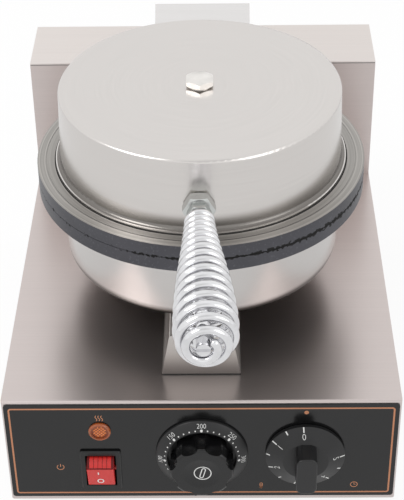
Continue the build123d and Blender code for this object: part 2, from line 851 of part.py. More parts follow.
with BuildPart() as lower_centre_bolt:
    with BuildSketch(level(lower_bolt_z, 0, pot_y)):
        hexagon(bolt_head_flats)
    extrude(amount=-bolt_head_height)
    with BuildSketch(level(lower_bolt_z, 0, pot_y)):
        Circle(centre_bolt_radius)
    extrude(amount=lower_hub_z + bolt_thread_depth - lower_bolt_z)
lower_centre_bolt.part.label = "lower_centre_bolt"
export_step(lower_centre_bolt.part, "parts/lower_centre_bolt.step")

with BuildPart() as centre_bolt:
    with BuildSketch(level(upper_pot_top_z, 0, pot_y)):
        hexagon(bolt_head_flats)
    extrude(amount=bolt_head_height)
    # turned chamfer round the top of the head
    head_top_z = upper_pot_top_z + bolt_head_height
    head_flat_radius = bolt_head_flats / 2 - bolt_head_flat_edge
    with BuildSketch(facing_front(pot_y)):
        with BuildLine():
            Polyline(
                (head_flat_radius, head_top_z + bolt_head_bevel),
                (bolt_head_flats, head_top_z + bolt_head_bevel),
                (bolt_head_flats, head_top_z - bolt_head_bevel),
                (head_flat_radius, head_top_z),
                close=True,
            )
        make_face()
    revolve(axis=pot_axis, mode=Mode.SUBTRACT)
    with BuildSketch(level(upper_pot_top_z, 0, pot_y)):
        Circle(centre_bolt_radius)
    extrude(amount=upper_hub_z - bolt_thread_depth - upper_pot_top_z)
centre_bolt.part.label = "centre_bolt"
export_step(centre_bolt.part, "parts/centre_bolt.step")

# ---- Upper pot ---------------------------------------------------------------------------------

upper_pot_z = upper_pot_top_z - upper_pot_depth
lip_top_z = upper_pot_z + lip_thickness
flare_top_z = lip_top_z + lip_reach

with BuildPart() as upper_pot:
    # half section: drafted wall with a foot that flares out to a thin lip
    with BuildSketch(facing_front(pot_y)):
        with BuildLine():
            Polyline(
                (0, upper_pot_top_z),
                (upper_pot_radius, upper_pot_top_z),
                (upper_foot_radius, flare_top_z),
            )
            CenterArc((lip_radius, flare_top_z), lip_reach, 180, 90)
            Polyline(
                (lip_radius, lip_top_z),
                (lip_radius, upper_pot_z),
                (upper_foot_radius - pot_wall, upper_pot_z),
                (upper_foot_radius - pot_wall, flare_top_z),
                (upper_pot_radius - pot_wall, upper_pot_top_z - pot_wall),
                (0, upper_pot_top_z - pot_wall),
                (0, upper_pot_top_z),
            )
        make_face()
        fillet(vertices().group_by(Axis.Y)[-2].sort_by(Axis.X)[-1], radius=upper_pot_corner / 2)
        fillet(vertices().group_by(Axis.Y)[-1].sort_by(Axis.X)[-1], radius=upper_pot_corner)
    revolve(axis=pot_axis)
    with BuildSketch(level(upper_pot_top_z)):
        with Locations((0, pot_y)):
            Circle(centre_bolt_radius + hole_play)
    extrude(amount=-pot_wall, mode=Mode.SUBTRACT)
    with BuildSketch(across_handle(0)):
        Circle(rod_radius + hole_play)
    extrude(amount=inner_nut_height, both=True, mode=Mode.SUBTRACT)
upper_pot.part.label = "upper_pot"
export_step(upper_pot.part, "parts/upper_pot.step")

# ---- Hinge -------------------------------------------------------------------------------------

hinge_axis = Plane(origin=(0, hinge_y, hinge_z), x_dir=(0, 1, 0), z_dir=(1, 0, 0))
ear_outside = arm_half_width - arm_thickness - seat_gap
bracket_front_y = tower_front_y + sheet
bracket_low_z = bracket_z - bracket_height / 2
bracket_high_z = bracket_z + bracket_height / 2
pin_half = arm_half_width + pin_end
web_z = upper_rim_top_z
web_top_z = web_z + arm_thickness
arm_bend_y = hinge_y - arm_bend_ahead
tail_run = cos(radians(arm_tail_angle))
tail_rise = sin(radians(arm_tail_angle))
tail_y = arm_bend_y + arm_tail_length * tail_run
tail_z = web_top_z + arm_tail_length * tail_rise
bend_shift = arm_thickness * tan(radians(arm_tail_angle / 2))
arm_front_y = pot_y + upper_pot_radius

with BuildPart() as hinge_bracket:
    with BuildSketch(level(bracket_low_z)):
        with Locations((0, bracket_front_y)):
            Rectangle(2 * ear_outside, ear_thickness, align=(Align.CENTER, Align.MIN))
    extrude(amount=bracket_height)
    with BuildSketch(Plane.YZ.offset(ear_outside - ear_thickness)):
        with BuildLine():
            Polyline(
                (bracket_front_y, bracket_low_z),
                (bracket_front_y + ear_thickness, bracket_low_z),
                (hinge_y + ear_radius, hinge_z - ear_radius),
                (hinge_y + ear_radius, hinge_z),
                (hinge_y - ear_radius, hinge_z),
                (bracket_front_y, bracket_high_z),
                close=True,
            )
        make_face()
        with Locations((hinge_y, hinge_z)):
            Circle(ear_radius)
            Circle(pin_radius, mode=Mode.SUBTRACT)
    extrude(amount=ear_thickness)
    mirror(about=Plane.YZ)
    with BuildSketch(facing_front(bracket_front_y)):
        with Locations((0, bracket_z)):
            with GridLocations(bracket_bolt_spread, bracket_bolt_pitch, 2, 2):
                Circle(hex_radius + hole_play)
    extrude(amount=-ear_thickness, mode=Mode.SUBTRACT)
hinge_bracket.part.label = "hinge_bracket"
export_step(hinge_bracket.part, "parts/hinge_bracket.step")

with BuildPart() as bracket_bolts:
    for x in (-bracket_bolt_spread / 2, bracket_bolt_spread / 2):
        for z in (bracket_z - bracket_bolt_pitch / 2, bracket_z + bracket_bolt_pitch / 2):
            with BuildSketch(facing_front(tower_front_y, x, z)):
                hexagon(hex_flats)
            extrude(amount=hex_head_height)
            with BuildSketch(facing_front(tower_front_y, x, z)):
                Circle(hex_radius)
            extrude(amount=-sheet - ear_thickness)
            with BuildSketch(facing_back(bracket_front_y + ear_thickness, x, z)):
                hexagon(hex_flats)
            extrude(amount=hex_head_height)
bracket_bolts.part.label = "bracket_bolts"
export_step(bracket_bolts.part, "parts/bracket_bolts.step")

with BuildPart() as hinge_pin:
    with BuildSketch(hinge_axis.offset(-pin_half)):
        Circle(pin_radius)
    extrude(amount=2 * pin_half)
    chamfer(edges().filter_by(GeomType.CIRCLE), length=pin_edge)
hinge_pin.part.label = "hinge_pin"
export_step(hinge_pin.part, "parts/hinge_pin.step")

with BuildPart() as hinge_clips:
    with BuildSketch(hinge_axis.offset(arm_half_width + seat_gap)):
        Circle(clip_radius)
        Circle(pin_radius, mode=Mode.SUBTRACT)
        with Locations((0, -clip_radius)):
            Rectangle(pin_radius, 2 * clip_radius, mode=Mode.SUBTRACT)
    extrude(amount=clip_thickness)
    mirror(about=Plane.YZ)
hinge_clips.part.label = "hinge_clips"
export_step(hinge_clips.part, "parts/hinge_clips.step")

# folded arm: a web on the upper plate's lug, a raised tail, and two cheeks down to the pin
with BuildPart() as lid_arm:
    with BuildSketch(Plane.YZ):
        with BuildLine():
            Polyline(
                (arm_front_y, web_z),
                (arm_bend_y + bend_shift, web_z),
                (tail_y + arm_thickness * tail_rise, tail_z - arm_thickness * tail_run),
                (tail_y, tail_z),
                (arm_bend_y, web_top_z),
                (arm_front_y, web_top_z),
                close=True,
            )
        make_face()
    extrude(amount=arm_half_width, both=True)
    with BuildSketch(level(web_z)):
        with Locations((0, pot_y)):
            Circle(lip_radius + seat_gap)
    extrude(amount=arm_thickness, mode=Mode.SUBTRACT)
    with BuildSketch(Plane.YZ.offset(arm_half_width - arm_thickness)):
        with Locations((hinge_y, hinge_z)):
            Circle(cheek_radius)
        with BuildLine():
            Polyline(
                (hinge_y - cheek_radius, hinge_z),
                (hinge_y - cheek_radius, web_z),
                (arm_bend_y, web_top_z),
                (arm_bend_y + 2 * cheek_radius * tail_run, web_top_z + 2 * cheek_radius * tail_rise),
                (hinge_y + cheek_radius, hinge_z),
                close=True,
            )
        make_face()
        with Locations((hinge_y, hinge_z)):
            Circle(pin_radius + pin_running_gap, mode=Mode.SUBTRACT)
    extrude(amount=arm_thickness)
    mirror(about=Plane.YZ)
    fillet(edges().filter_by(Axis.Z).group_by(Axis.X)[0], radius=arm_edge)
    with BuildSketch(level(web_top_z)):
        with Locations((0, arm_bolt_y)):
            with GridLocations(arm_bolt_spread, 0, 2, 1):
                Circle(hex_radius + hole_play)
    extrude(amount=-arm_thickness, mode=Mode.SUBTRACT)
lid_arm.part.label = "lid_arm"
export_step(lid_arm.part, "parts/lid_arm.step")

with BuildPart() as arm_bolts:
    for x in (-arm_bolt_spread / 2, arm_bolt_spread / 2):
        with BuildSketch(level(web_top_z, x, arm_bolt_y)):
            hexagon(hex_flats)
        extrude(amount=hex_head_height)
        with BuildSketch(level(web_top_z, x, arm_bolt_y)):
            Circle(hex_radius)
        extrude(amount=-arm_thickness - rim_thickness)
arm_bolts.part.label = "arm_bolts"
export_step(arm_bolts.part, "parts/arm_bolts.step")

# ---- Handle ------------------------------------------------------------------------------------

# nuts have flat faces and the wall is round, so they stand off by the wall's curve
collar_reach = nut_gap + jam_nut_height
inner_wall_radius = handle_wall_radius - pot_wall
inner_face = sqrt(inner_wall_radius ** 2 - (inner_nut_flats / 2) ** 2 * 4 / 3)
inner_nut_reach = inner_face - nut_gap - handle_wall_radius
rod_back_reach = inner_nut_reach - inner_nut_height - rod_inner_end
end_nut_reach = coil_end - end_nut_back - end_nut_height


def coil_profile(share):
    """Distance from the pot, wire-centre radius and pitch: a swell up to share 1, a close up to 2."""
    if share <= 1:
        reach = coil_start + (coil_widest - coil_start) * share
        ease = share ** coil_sharpness
        swell = ease * ease * (3 - 2 * ease)
        radius = coil_start_radius + (coil_max_radius - coil_start_radius) * swell
        widening = sin(share * pi / 2)
        return reach, radius, coil_start_pitch + (coil_widest_pitch - coil_start_pitch) * widening
    turn = (share - 1) * pi / 2
    reach = coil_widest + (coil_end - coil_widest) * sin(turn)
    radius = coil_end_radius + (coil_max_radius - coil_end_radius) * cos(turn)
    return reach, radius, coil_end_pitch + (coil_widest_pitch - coil_end_pitch) * cos(turn) ** 2


def coil_points():
    """Points along the wire, evenly spaced in turn, with turns one pitch apart along the profile."""
    points = []
    turns = 0.0
    last_reach, last_radius = coil_start, coil_start_radius
    for step in range(profile_steps + 1):
        reach, radius, pitch = coil_profile(2 * step / profile_steps)
        turns += hypot(reach - last_reach, radius - last_radius) / pitch
        last_reach, last_radius = reach, radius
        if turns * coil_steps >= len(points):
            turn = radians(coil_first_turn) + 2 * pi * len(points) / coil_steps
            hang = (radius - coil_start_radius) / (coil_max_radius - coil_start_radius)
            across = radius * cos(turn) + coil_aside * hang
            points.append((
                across * handle_ahead + reach * handle_side,
                wall_y - reach * handle_ahead + across * handle_side,
                handle_z + radius * sin(turn),
            ))
    return points


with BuildPart() as handle_coil:
    with BuildLine() as wire_line:
        Spline(*coil_points())
    with BuildSketch(Plane(origin=wire_line.line @ 0, z_dir=wire_line.line % 0)):
        Circle(wire_radius)
    sweep(path=wire_line.line, is_frenet=True)
handle_coil.part.label = "handle_coil"
export_step(handle_coil.part, "parts/handle_coil.step")

with BuildPart() as handle_rod:
    with BuildSketch(across_handle(rod_back_reach)):
        Circle(rod_radius)
    extrude(amount=handle_length - rod_back_reach)
    with BuildSketch(across_handle(handle_length)):
        Rectangle(2 * rod_radius, end_slot_width)
    extrude(amount=-end_slot_depth, mode=Mode.SUBTRACT)
handle_rod.part.label = "handle_rod"
export_step(handle_rod.part, "parts/handle_rod.step")

with BuildPart() as handle_jam_nut:
    with BuildSketch(across_handle(nut_gap)):
        hexagon(jam_nut_flats)
        Circle(rod_radius, mode=Mode.SUBTRACT)
    extrude(amount=jam_nut_height)
    with BuildSketch(across_handle(nut_gap)):
        Circle(jam_nut_flats / 2 + jam_nut_corner)
    extrude(amount=jam_nut_height, mode=Mode.INTERSECT)
handle_jam_nut.part.label = "handle_jam_nut"
export_step(handle_jam_nut.part, "parts/handle_jam_nut.step")

with BuildPart() as handle_collar:
    with BuildSketch(across_handle(collar_reach)):
        hexagon(collar_flats)
        Circle(rod_radius, mode=Mode.SUBTRACT)
    extrude(amount=collar_height)
handle_collar.part.label = "handle_collar"
export_step(handle_collar.part, "parts/handle_collar.step")

with BuildPart() as handle_inner_nut:
    with BuildSketch(across_handle(inner_nut_reach)):
        hexagon(inner_nut_flats)
        Circle(rod_radius, mode=Mode.SUBTRACT)
    extrude(amount=-inner_nut_height)
handle_inner_nut.part.label = "handle_inner_nut"
export_step(handle_inner_nut.part, "parts/handle_inner_nut.step")

with BuildPart() as handle_end_nut:
    with BuildSketch(across_handle(end_nut_reach)):
        hexagon(end_nut_flats)
        Circle(rod_radius, mode=Mode.SUBTRACT)
    extrude(amount=end_nut_height)
handle_end_nut.part.label = "handle_end_nut"
export_step(handle_end_nut.part, "parts/handle_end_nut.step")

# ---- Control panel -----------------------------------------------------------------------------

inside_y = front_y + sheet
lamp_z = base_z + lamp_height
switch_z = base_z + switch_height
fascia_z = base_z + fascia_bottom + fascia_height / 2

with BuildPart() as control_fascia:
    with BuildSketch(facing_front(front_y)):
        with Locations((0, fascia_z)):
            RectangleRounded(fascia_width, fascia_height, fascia_corner)
        with Locations((switch_x, switch_z)):
            Rectangle(
                switch_body_width + 2 * hole_play,
                switch_body_height + 2 * hole_play,
                mode=Mode.SUBTRACT,
            )
        with Locations((lamp_x, lamp_z)):
            Circle(lamp_barrel_radius + hole_play, mode=Mode.SUBTRACT)
        with Locations((0, control_z), (timer_x, control_z)):
            Circle(shaft_radius + hole_play, mode=Mode.SUBTRACT)
            with GridLocations(thermostat_screw_spread, 0, 2, 1):
                Circle(panel_screw_radius + hole_play, mode=Mode.SUBTRACT)
    extrude(amount=fascia_thickness)
control_fascia.part.label = "control_fascia"
export_step(control_fascia.part, "parts/control_fascia.step")

# Indicator lamp

lens_seat = 0.8

with BuildPart() as indicator_body:
    with BuildSketch(facing_front(fascia_y, lamp_x, lamp_z)):
        Circle(lamp_ring_radius)
    extrude(amount=lamp_ring_height)
    chamfer(edges().group_by(Axis.Y)[0], length=lamp_ring_edge)
    with BuildSketch(facing_front(fascia_y, lamp_x, lamp_z)):
        Circle(lamp_barrel_radius)
    extrude(amount=-lamp_barrel_length)
    with BuildSketch(facing_front(fascia_y - lens_seat, lamp_x, lamp_z)):
        Circle(lamp_lens_radius)
    extrude(amount=lamp_ring_height, mode=Mode.SUBTRACT)
indicator_body.part.label = "indicator_body"
export_step(indicator_body.part, "parts/indicator_body.step")

with BuildPart() as indicator_lens:
    with BuildSketch(facing_front(fascia_y - lens_seat, lamp_x, lamp_z)):
        RegularPolygon(radius=lamp_lens_radius, side_count=lens_facets)
    extrude(amount=lamp_lens_height / 2)
    with BuildSketch(facing_front(fascia_y - lens_seat - lamp_lens_height / 2, lamp_x, lamp_z)):
        RegularPolygon(radius=lamp_lens_radius, side_count=lens_facets)
    extrude(amount=lamp_lens_height / 2, taper=lens_slope)
indicator_lens.part.label = "indicator_lens"
export_step(indicator_lens.part, "parts/indicator_lens.step")

with BuildPart() as indicator_nut:
    with BuildSketch(facing_back(inside_y, lamp_x, lamp_z)):
        hexagon(lamp_nut_flats)
        Circle(lamp_barrel_radius, mode=Mode.SUBTRACT)
    extrude(amount=lamp_nut_height)
indicator_nut.part.label = "indicator_nut"
export_step(indicator_nut.part, "parts/indicator_nut.step")

# Rocker switch

pivot_y = fascia_y + rocker_pivot_depth
pivot_line = Plane(origin=(switch_x, pivot_y, switch_z), x_dir=(0, 1, 0), z_dir=(1, 0, 0))
rocker_half = rocker_width / 2
switch_back_y = fascia_y + switch_body_depth

with BuildPart() as switch_housing:
    with BuildSketch(facing_front(fascia_y, switch_x, switch_z)):
        RectangleRounded(bezel_width, bezel_height, bezel_corner)
    extrude(amount=bezel_thickness)
    chamfer(edges().group_by(Axis.Y)[0], length=bezel_edge)
    with BuildSketch(facing_front(fascia_y, switch_x, switch_z)):
        Rectangle(switch_body_width, switch_body_height)
    extrude(amount=-switch_body_depth)
    with BuildSketch(pivot_line.offset(-switch_window_width / 2)):
        Circle(rocker_radius + rocker_gap)
        Rectangle(
            switch_window_height,
            switch_window_height,
            align=(Align.MAX, Align.CENTER),
        )
    extrude(amount=switch_window_width, mode=Mode.SUBTRACT)
    with BuildSketch(pivot_line.offset(-rocker_half - trunnion_length - hole_play)):
        Circle(trunnion_radius + pin_running_gap)
    extrude(amount=rocker_width + 2 * trunnion_length + 2 * hole_play, mode=Mode.SUBTRACT)
switch_housing.part.label = "switch_housing"
export_step(switch_housing.part, "parts/switch_housing.step")

with BuildPart() as switch_rocker:
    with BuildSketch(pivot_line.offset(-rocker_half)):
        Circle(rocker_radius)
        with Locations(Location((0, 0, 0), (0, 0, rocker_tilt))):
            with Locations(((rocker_back - rocker_face) / 2, 0)):
                Rectangle(rocker_face + rocker_back, 2 * rocker_radius, mode=Mode.INTERSECT)
    extrude(amount=rocker_width)
    with BuildSketch(pivot_line.offset(-rocker_half - trunnion_length)):
        Circle(trunnion_radius)
    extrude(amount=rocker_width + 2 * trunnion_length)
switch_rocker.part.label = "switch_rocker"
export_step(switch_rocker.part, "parts/switch_rocker.step")

with BuildPart() as switch_terminals:
    with BuildSketch(facing_back(switch_back_y, switch_x, switch_z)):
        with GridLocations(switch_body_width / 2, switch_body_height / 2, 2, 2):
            Rectangle(terminal_width, terminal_thickness)
    extrude(amount=terminal_length)
switch_terminals.part.label = "switch_terminals"
export_step(switch_terminals.part, "parts/switch_terminals.step")


def shaft_section(play):
    """Round shaft with a flat, larger all round by play."""
    Circle(shaft_radius + play)
    with Locations((0, shaft_radius)):
        Rectangle(4 * shaft_radius, 2 * (shaft_flat - play), mode=Mode.SUBTRACT)


# Thermostat: dial plate fixed to the panel, knob on a shaft

dial_y = fascia_y - dial_thickness
knob_back_y = dial_y - knob_gap
knob_face_y = fascia_y - knob_front
dish_curve = (dish_radius ** 2 + dish_depth ** 2) / (2 * dish_depth)
screw_seat = panel_screw_head_height + panel_screw_sink

with BuildPart() as thermostat_dial:
    with BuildSketch(facing_front(fascia_y, 0, control_z)):
        Circle(dial_radius)
        Circle(dial_hub_radius, mode=Mode.SUBTRACT)
    extrude(amount=dial_thickness)
    rim_edge = edges().group_by(Axis.Y)[0].sort_by(SortBy.LENGTH)[-1]
    chamfer(rim_edge, length=dial_edge)
    with BuildSketch(facing_front(dial_y, 0, control_z)):
        Circle(dial_well_radius)
    extrude(amount=-dial_well_depth, mode=Mode.SUBTRACT)
    with BuildSketch(facing_front(dial_y, 0, control_z)):
        with GridLocations(thermostat_screw_spread, 0, 2, 1):
            Circle(panel_screw_head + hole_play)
    extrude(amount=-screw_seat, mode=Mode.SUBTRACT)
    with BuildSketch(facing_front(dial_y, 0, control_z)):
        with GridLocations(thermostat_screw_spread, 0, 2, 1):
            Circle(panel_screw_radius + hole_play)
    extrude(amount=-dial_thickness, mode=Mode.SUBTRACT)
thermostat_dial.part.label = "thermostat_dial"
export_step(thermostat_dial.part, "parts/thermostat_dial.step")

with BuildPart() as thermostat_screws:
    with BuildSketch(facing_front(dial_y + screw_seat, 0, control_z)):
        with GridLocations(thermostat_screw_spread, 0, 2, 1):
            Circle(panel_screw_head)
    extrude(amount=panel_screw_head_height)
    with BuildSketch(facing_front(dial_y + screw_seat, 0, control_z)):
        with GridLocations(thermostat_screw_spread, 0, 2, 1):
            Circle(panel_screw_radius)
    extrude(amount=-(dial_thickness - screw_seat + fascia_thickness + sheet + screw_length))
thermostat_screws.part.label = "thermostat_screws"
export_step(thermostat_screws.part, "parts/thermostat_screws.step")

with BuildPart() as thermostat_body:
    with BuildSketch(facing_back(inside_y, 0, control_z)):
        Rectangle(thermostat_width, thermostat_height)
    extrude(amount=thermostat_depth)
    fillet(edges().filter_by(Axis.Y), radius=thermostat_corner)
    with BuildSketch(facing_back(inside_y, 0, control_z)):
        Circle(shaft_radius + pin_running_gap)
    extrude(amount=shaft_in_body + hole_play, mode=Mode.SUBTRACT)
    with BuildSketch(facing_back(inside_y, 0, control_z)):
        with GridLocations(thermostat_screw_spread, 0, 2, 1):
            Circle(panel_screw_radius)
    extrude(amount=screw_length + hole_play, mode=Mode.SUBTRACT)
    with BuildSketch(facing_back(inside_y + thermostat_depth, 0, control_z)):
        with GridLocations(thermostat_width / 2, thermostat_height / 2, 2, 2):
            Rectangle(terminal_width, terminal_thickness)
    extrude(amount=terminal_length)
thermostat_body.part.label = "thermostat_body"
export_step(thermostat_body.part, "parts/thermostat_body.step")

with BuildPart() as thermostat_shaft:
    with BuildSketch(facing_front(inside_y + shaft_in_body, 0, control_z)):
        shaft_section(0)
    extrude(amount=inside_y + shaft_in_body - knob_back_y + shaft_in_knob)
thermostat_shaft.part.label = "thermostat_shaft"
export_step(thermostat_shaft.part, "parts/thermostat_shaft.step")

with BuildPart() as thermostat_knob:
    with BuildSketch(facing_front(knob_back_y, 0, control_z)):
        Circle(knob_radius)
    extrude(amount=knob_back_y - knob_face_y)
    fillet(edges().group_by(Axis.Y)[0], radius=knob_edge)
    with BuildSketch(facing_front(knob_back_y, 0, control_z)):
        with PolarLocations(knob_radius + flute_radius - flute_bite, knob_flutes, start_angle=knob_turn):
            Circle(flute_radius)
    extrude(amount=knob_back_y - knob_face_y, mode=Mode.SUBTRACT)
    with BuildSketch(facing_front(knob_back_y, 0, control_z)):
        with PolarLocations(knob_radius - flute_bite, 1, start_angle=nib_angle):
            Rectangle(2 * (flute_bite + nib_reach), nib_width)
    extrude(amount=knob_back_y - knob_face_y - knob_edge)
    with Locations((0, knob_face_y + dish_depth - dish_curve, control_z)):
        Sphere(dish_curve, mode=Mode.SUBTRACT)
    with BuildSketch(facing_front(knob_back_y, 0, control_z)):
        shaft_section(shaft_bore_play)
    extrude(amount=shaft_in_knob + hole_play, mode=Mode.SUBTRACT)
thermostat_knob.part.label = "thermostat_knob"
export_step(thermostat_knob.part, "parts/thermostat_knob.step")

# Timer

skirt_y = fascia_y - knob_gap
cone_top_y = skirt_y - cone_height
grip_face_y = fascia_y - timer_front

with BuildPart() as timer_screws:
    with BuildSketch(facing_front(fascia_y, timer_x, control_z)):
        with GridLocations(timer_screw_spread, 0, 2, 1):
            Circle(panel_screw_head)
    extrude(amount=panel_screw_head_height)
    with BuildSketch(facing_front(fascia_y, timer_x, control_z)):
        with GridLocations(timer_screw_spread, 0, 2, 1):
            Circle(panel_screw_radius)
    extrude(amount=-(fascia_thickness + sheet + screw_length))
timer_screws.part.label = "timer_screws"
export_step(timer_screws.part, "parts/timer_screws.step")

with BuildPart() as timer_body:
    with BuildSketch(facing_back(inside_y, timer_x, control_z)):
        Circle(timer_can_radius)
    extrude(amount=timer_depth)
    fillet(edges().group_by(Axis.Y)[-1], radius=timer_can_edge)
    with BuildSketch(facing_back(inside_y, timer_x, control_z)):
        Circle(shaft_radius + pin_running_gap)
    extrude(amount=shaft_in_body + hole_play, mode=Mode.SUBTRACT)
    with BuildSketch(facing_back(inside_y, timer_x, control_z)):
        with GridLocations(timer_screw_spread, 0, 2, 1):
            Circle(panel_screw_radius)
    extrude(amount=screw_length + hole_play, mode=Mode.SUBTRACT)
    with BuildSketch(facing_back(inside_y + timer_depth, timer_x, control_z)):
        with GridLocations(timer_can_radius, 0, 2, 1):
            Rectangle(terminal_width, terminal_thickness)
    extrude(amount=terminal_length)
timer_body.part.label = "timer_body"
export_step(timer_body.part, "parts/timer_body.step")

with BuildPart() as timer_shaft:
    with BuildSketch(facing_front(inside_y + shaft_in_body, timer_x, control_z)):
        shaft_section(0)
    extrude(amount=inside_y + shaft_in_body - skirt_y + shaft_in_knob)
timer_shaft.part.label = "timer_shaft"
export_step(timer_shaft.part, "parts/timer_shaft.step")

with BuildPart() as timer_knob:
    with BuildSketch(facing_front(skirt_y, timer_x, control_z)):
        Circle(skirt_radius)
    extrude(amount=skirt_edge)
    with BuildSketch(facing_front(skirt_y - skirt_edge, timer_x, control_z)) as skirt_foot:
        Circle(skirt_radius)
    with BuildSketch(facing_front(cone_top_y, timer_x, control_z)) as cone_top:
        Circle(cone_radius)
    loft()
    with BuildSketch(facing_front(skirt_y - skirt_edge, timer_x, control_z)):
        RectangleRounded(grip_width, grip_length, grip_width / 3)
    extrude(amount=skirt_y - skirt_edge - grip_face_y)
    fillet(edges().group_by(Axis.Y)[0], radius=grip_edge)
    with BuildSketch(facing_front(skirt_y, timer_x, control_z)):
        Circle(skirt_radius - skirt_edge)
        Circle(shaft_radius + skirt_edge, mode=Mode.SUBTRACT)
    extrude(amount=skirt_edge, mode=Mode.SUBTRACT)
    with BuildSketch(facing_front(skirt_y, timer_x, control_z)):
        shaft_section(shaft_bore_play)
    extrude(amount=shaft_in_knob + hole_play, mode=Mode.SUBTRACT)
timer_knob.part.label = "timer_knob"
export_step(timer_knob.part, "parts/timer_knob.step")

# ---- Mains inlet -------------------------------------------------------------------------------

gland_z = base_z + gland_height

with BuildPart() as cable_gland:
    with BuildSketch(facing_back(back_y, gland_x, gland_z)):
        Circle(gland_flange_radius)
    extrude(amount=gland_flange_thickness)
    chamfer(edges().group_by(Axis.Y)[-1], length=gland_edge)
    with BuildSketch(facing_back(back_y + gland_flange_thickness, gland_x, gland_z)):
        Circle(gland_radius)
    extrude(amount=gland_nose, taper=gland_taper)
    with BuildSketch(facing_back(back_y, gland_x, gland_z)):
        Circle(gland_radius)
    extrude(amount=-gland_inside)
    with BuildSketch(facing_back(back_y - gland_inside, gland_x, gland_z)):
        Circle(gland_bore)
    extrude(amount=gland_inside + gland_flange_thickness + gland_nose, mode=Mode.SUBTRACT)
cable_gland.part.label = "cable_gland"
export_step(cable_gland.part, "parts/cable_gland.step")

with BuildPart() as gland_nut:
    with BuildSketch(facing_front(shell_back_y, gland_x, gland_z)):
        hexagon(gland_nut_flats)
        Circle(gland_radius, mode=Mode.SUBTRACT)
    extrude(amount=gland_nut_height)
gland_nut.part.label = "gland_nut"
export_step(gland_nut.part, "parts/gland_nut.step")

block_x = gland_x - terminal_block_aside
block_y = shell_back_y - 2 * gland_inside - terminal_block_depth
pole_pitch = terminal_block_width / terminal_poles

with BuildPart() as terminal_block:
    with BuildSketch(level(bottom_z, block_x, block_y)):
        Rectangle(terminal_block_width, terminal_block_depth)
    extrude(amount=terminal_block_height / 2)
    with BuildSketch(level(bottom_z + terminal_block_height / 2, block_x, block_y)):
        with GridLocations(pole_pitch, 0, terminal_poles, 1):
            Rectangle(pole_pitch - pole_gap, terminal_block_depth)
    extrude(amount=terminal_block_height / 2)
    with BuildSketch(level(bottom_z + terminal_block_height, block_x, block_y)):
        with GridLocations(pole_pitch, terminal_block_depth / 2, terminal_poles, 2):
            Circle(panel_screw_radius)
    extrude(amount=-terminal_block_height / 3, mode=Mode.SUBTRACT)
terminal_block.part.label = "terminal_block"
export_step(terminal_block.part, "parts/terminal_block.step")
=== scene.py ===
import logging
import math
from abc import ABC, abstractmethod
from collections.abc import Callable, Iterable, Sequence
from dataclasses import dataclass
from enum import Enum

import bmesh
import bpy
from mathutils import Matrix, Vector


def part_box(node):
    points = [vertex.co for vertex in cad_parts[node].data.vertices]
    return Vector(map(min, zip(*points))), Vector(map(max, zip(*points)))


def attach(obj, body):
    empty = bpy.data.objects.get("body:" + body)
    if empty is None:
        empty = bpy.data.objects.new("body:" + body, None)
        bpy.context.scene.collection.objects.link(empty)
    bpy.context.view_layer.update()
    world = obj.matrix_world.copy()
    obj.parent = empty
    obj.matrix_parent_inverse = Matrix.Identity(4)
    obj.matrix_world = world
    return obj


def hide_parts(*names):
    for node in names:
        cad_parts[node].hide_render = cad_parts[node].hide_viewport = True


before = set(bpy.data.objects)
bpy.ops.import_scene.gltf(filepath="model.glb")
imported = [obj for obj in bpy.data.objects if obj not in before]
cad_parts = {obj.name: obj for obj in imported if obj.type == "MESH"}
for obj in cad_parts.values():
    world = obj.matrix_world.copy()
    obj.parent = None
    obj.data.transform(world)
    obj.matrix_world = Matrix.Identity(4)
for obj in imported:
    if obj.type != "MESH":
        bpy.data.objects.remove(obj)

log = logging.getLogger("krumkake_iron")

Colour = tuple[float, float, float]
Point = tuple[float, float]
Value = float | Sequence[float] | bpy.types.NodeSocket
Loop = list[bmesh.types.BMVert]

MM = 0.001
FULL_TURN = 2 * math.pi
WHITE = (1.0, 1.0, 1.0, 1.0)
# points of a piece that lie closer than this are joined
WELD = 0.001 * MM
# height of a figure in the built-in face, as a share of the letters' size
FIGURE_SHARE = 0.73
# how far a figure's outline draws in, as a share of its height
FIGURE_THIN = 0.018


def ink(red: int, green: int, blue: int) -> Colour:
    """Turns a colour written as 0 to 255 into the linear one that a shader takes.

    Args:
        red: red as 0 to 255.
        green: green as 0 to 255.
        blue: blue as 0 to 255.

    Returns:
        The linear colour.
    """
    return tuple(((part / 255 + 0.055) / 1.055) ** 2.4 for part in (red, green, blue))


def shaded(colour: Colour, share: float) -> Colour:
    """Darkens or lightens a colour.

    Args:
        colour: the linear colour.
        share: what each of its parts is multiplied by.

    Returns:
        The new colour.
    """
    return tuple(share * part for part in colour)


# ---- Node trees --------------------------------------------------------------------------------


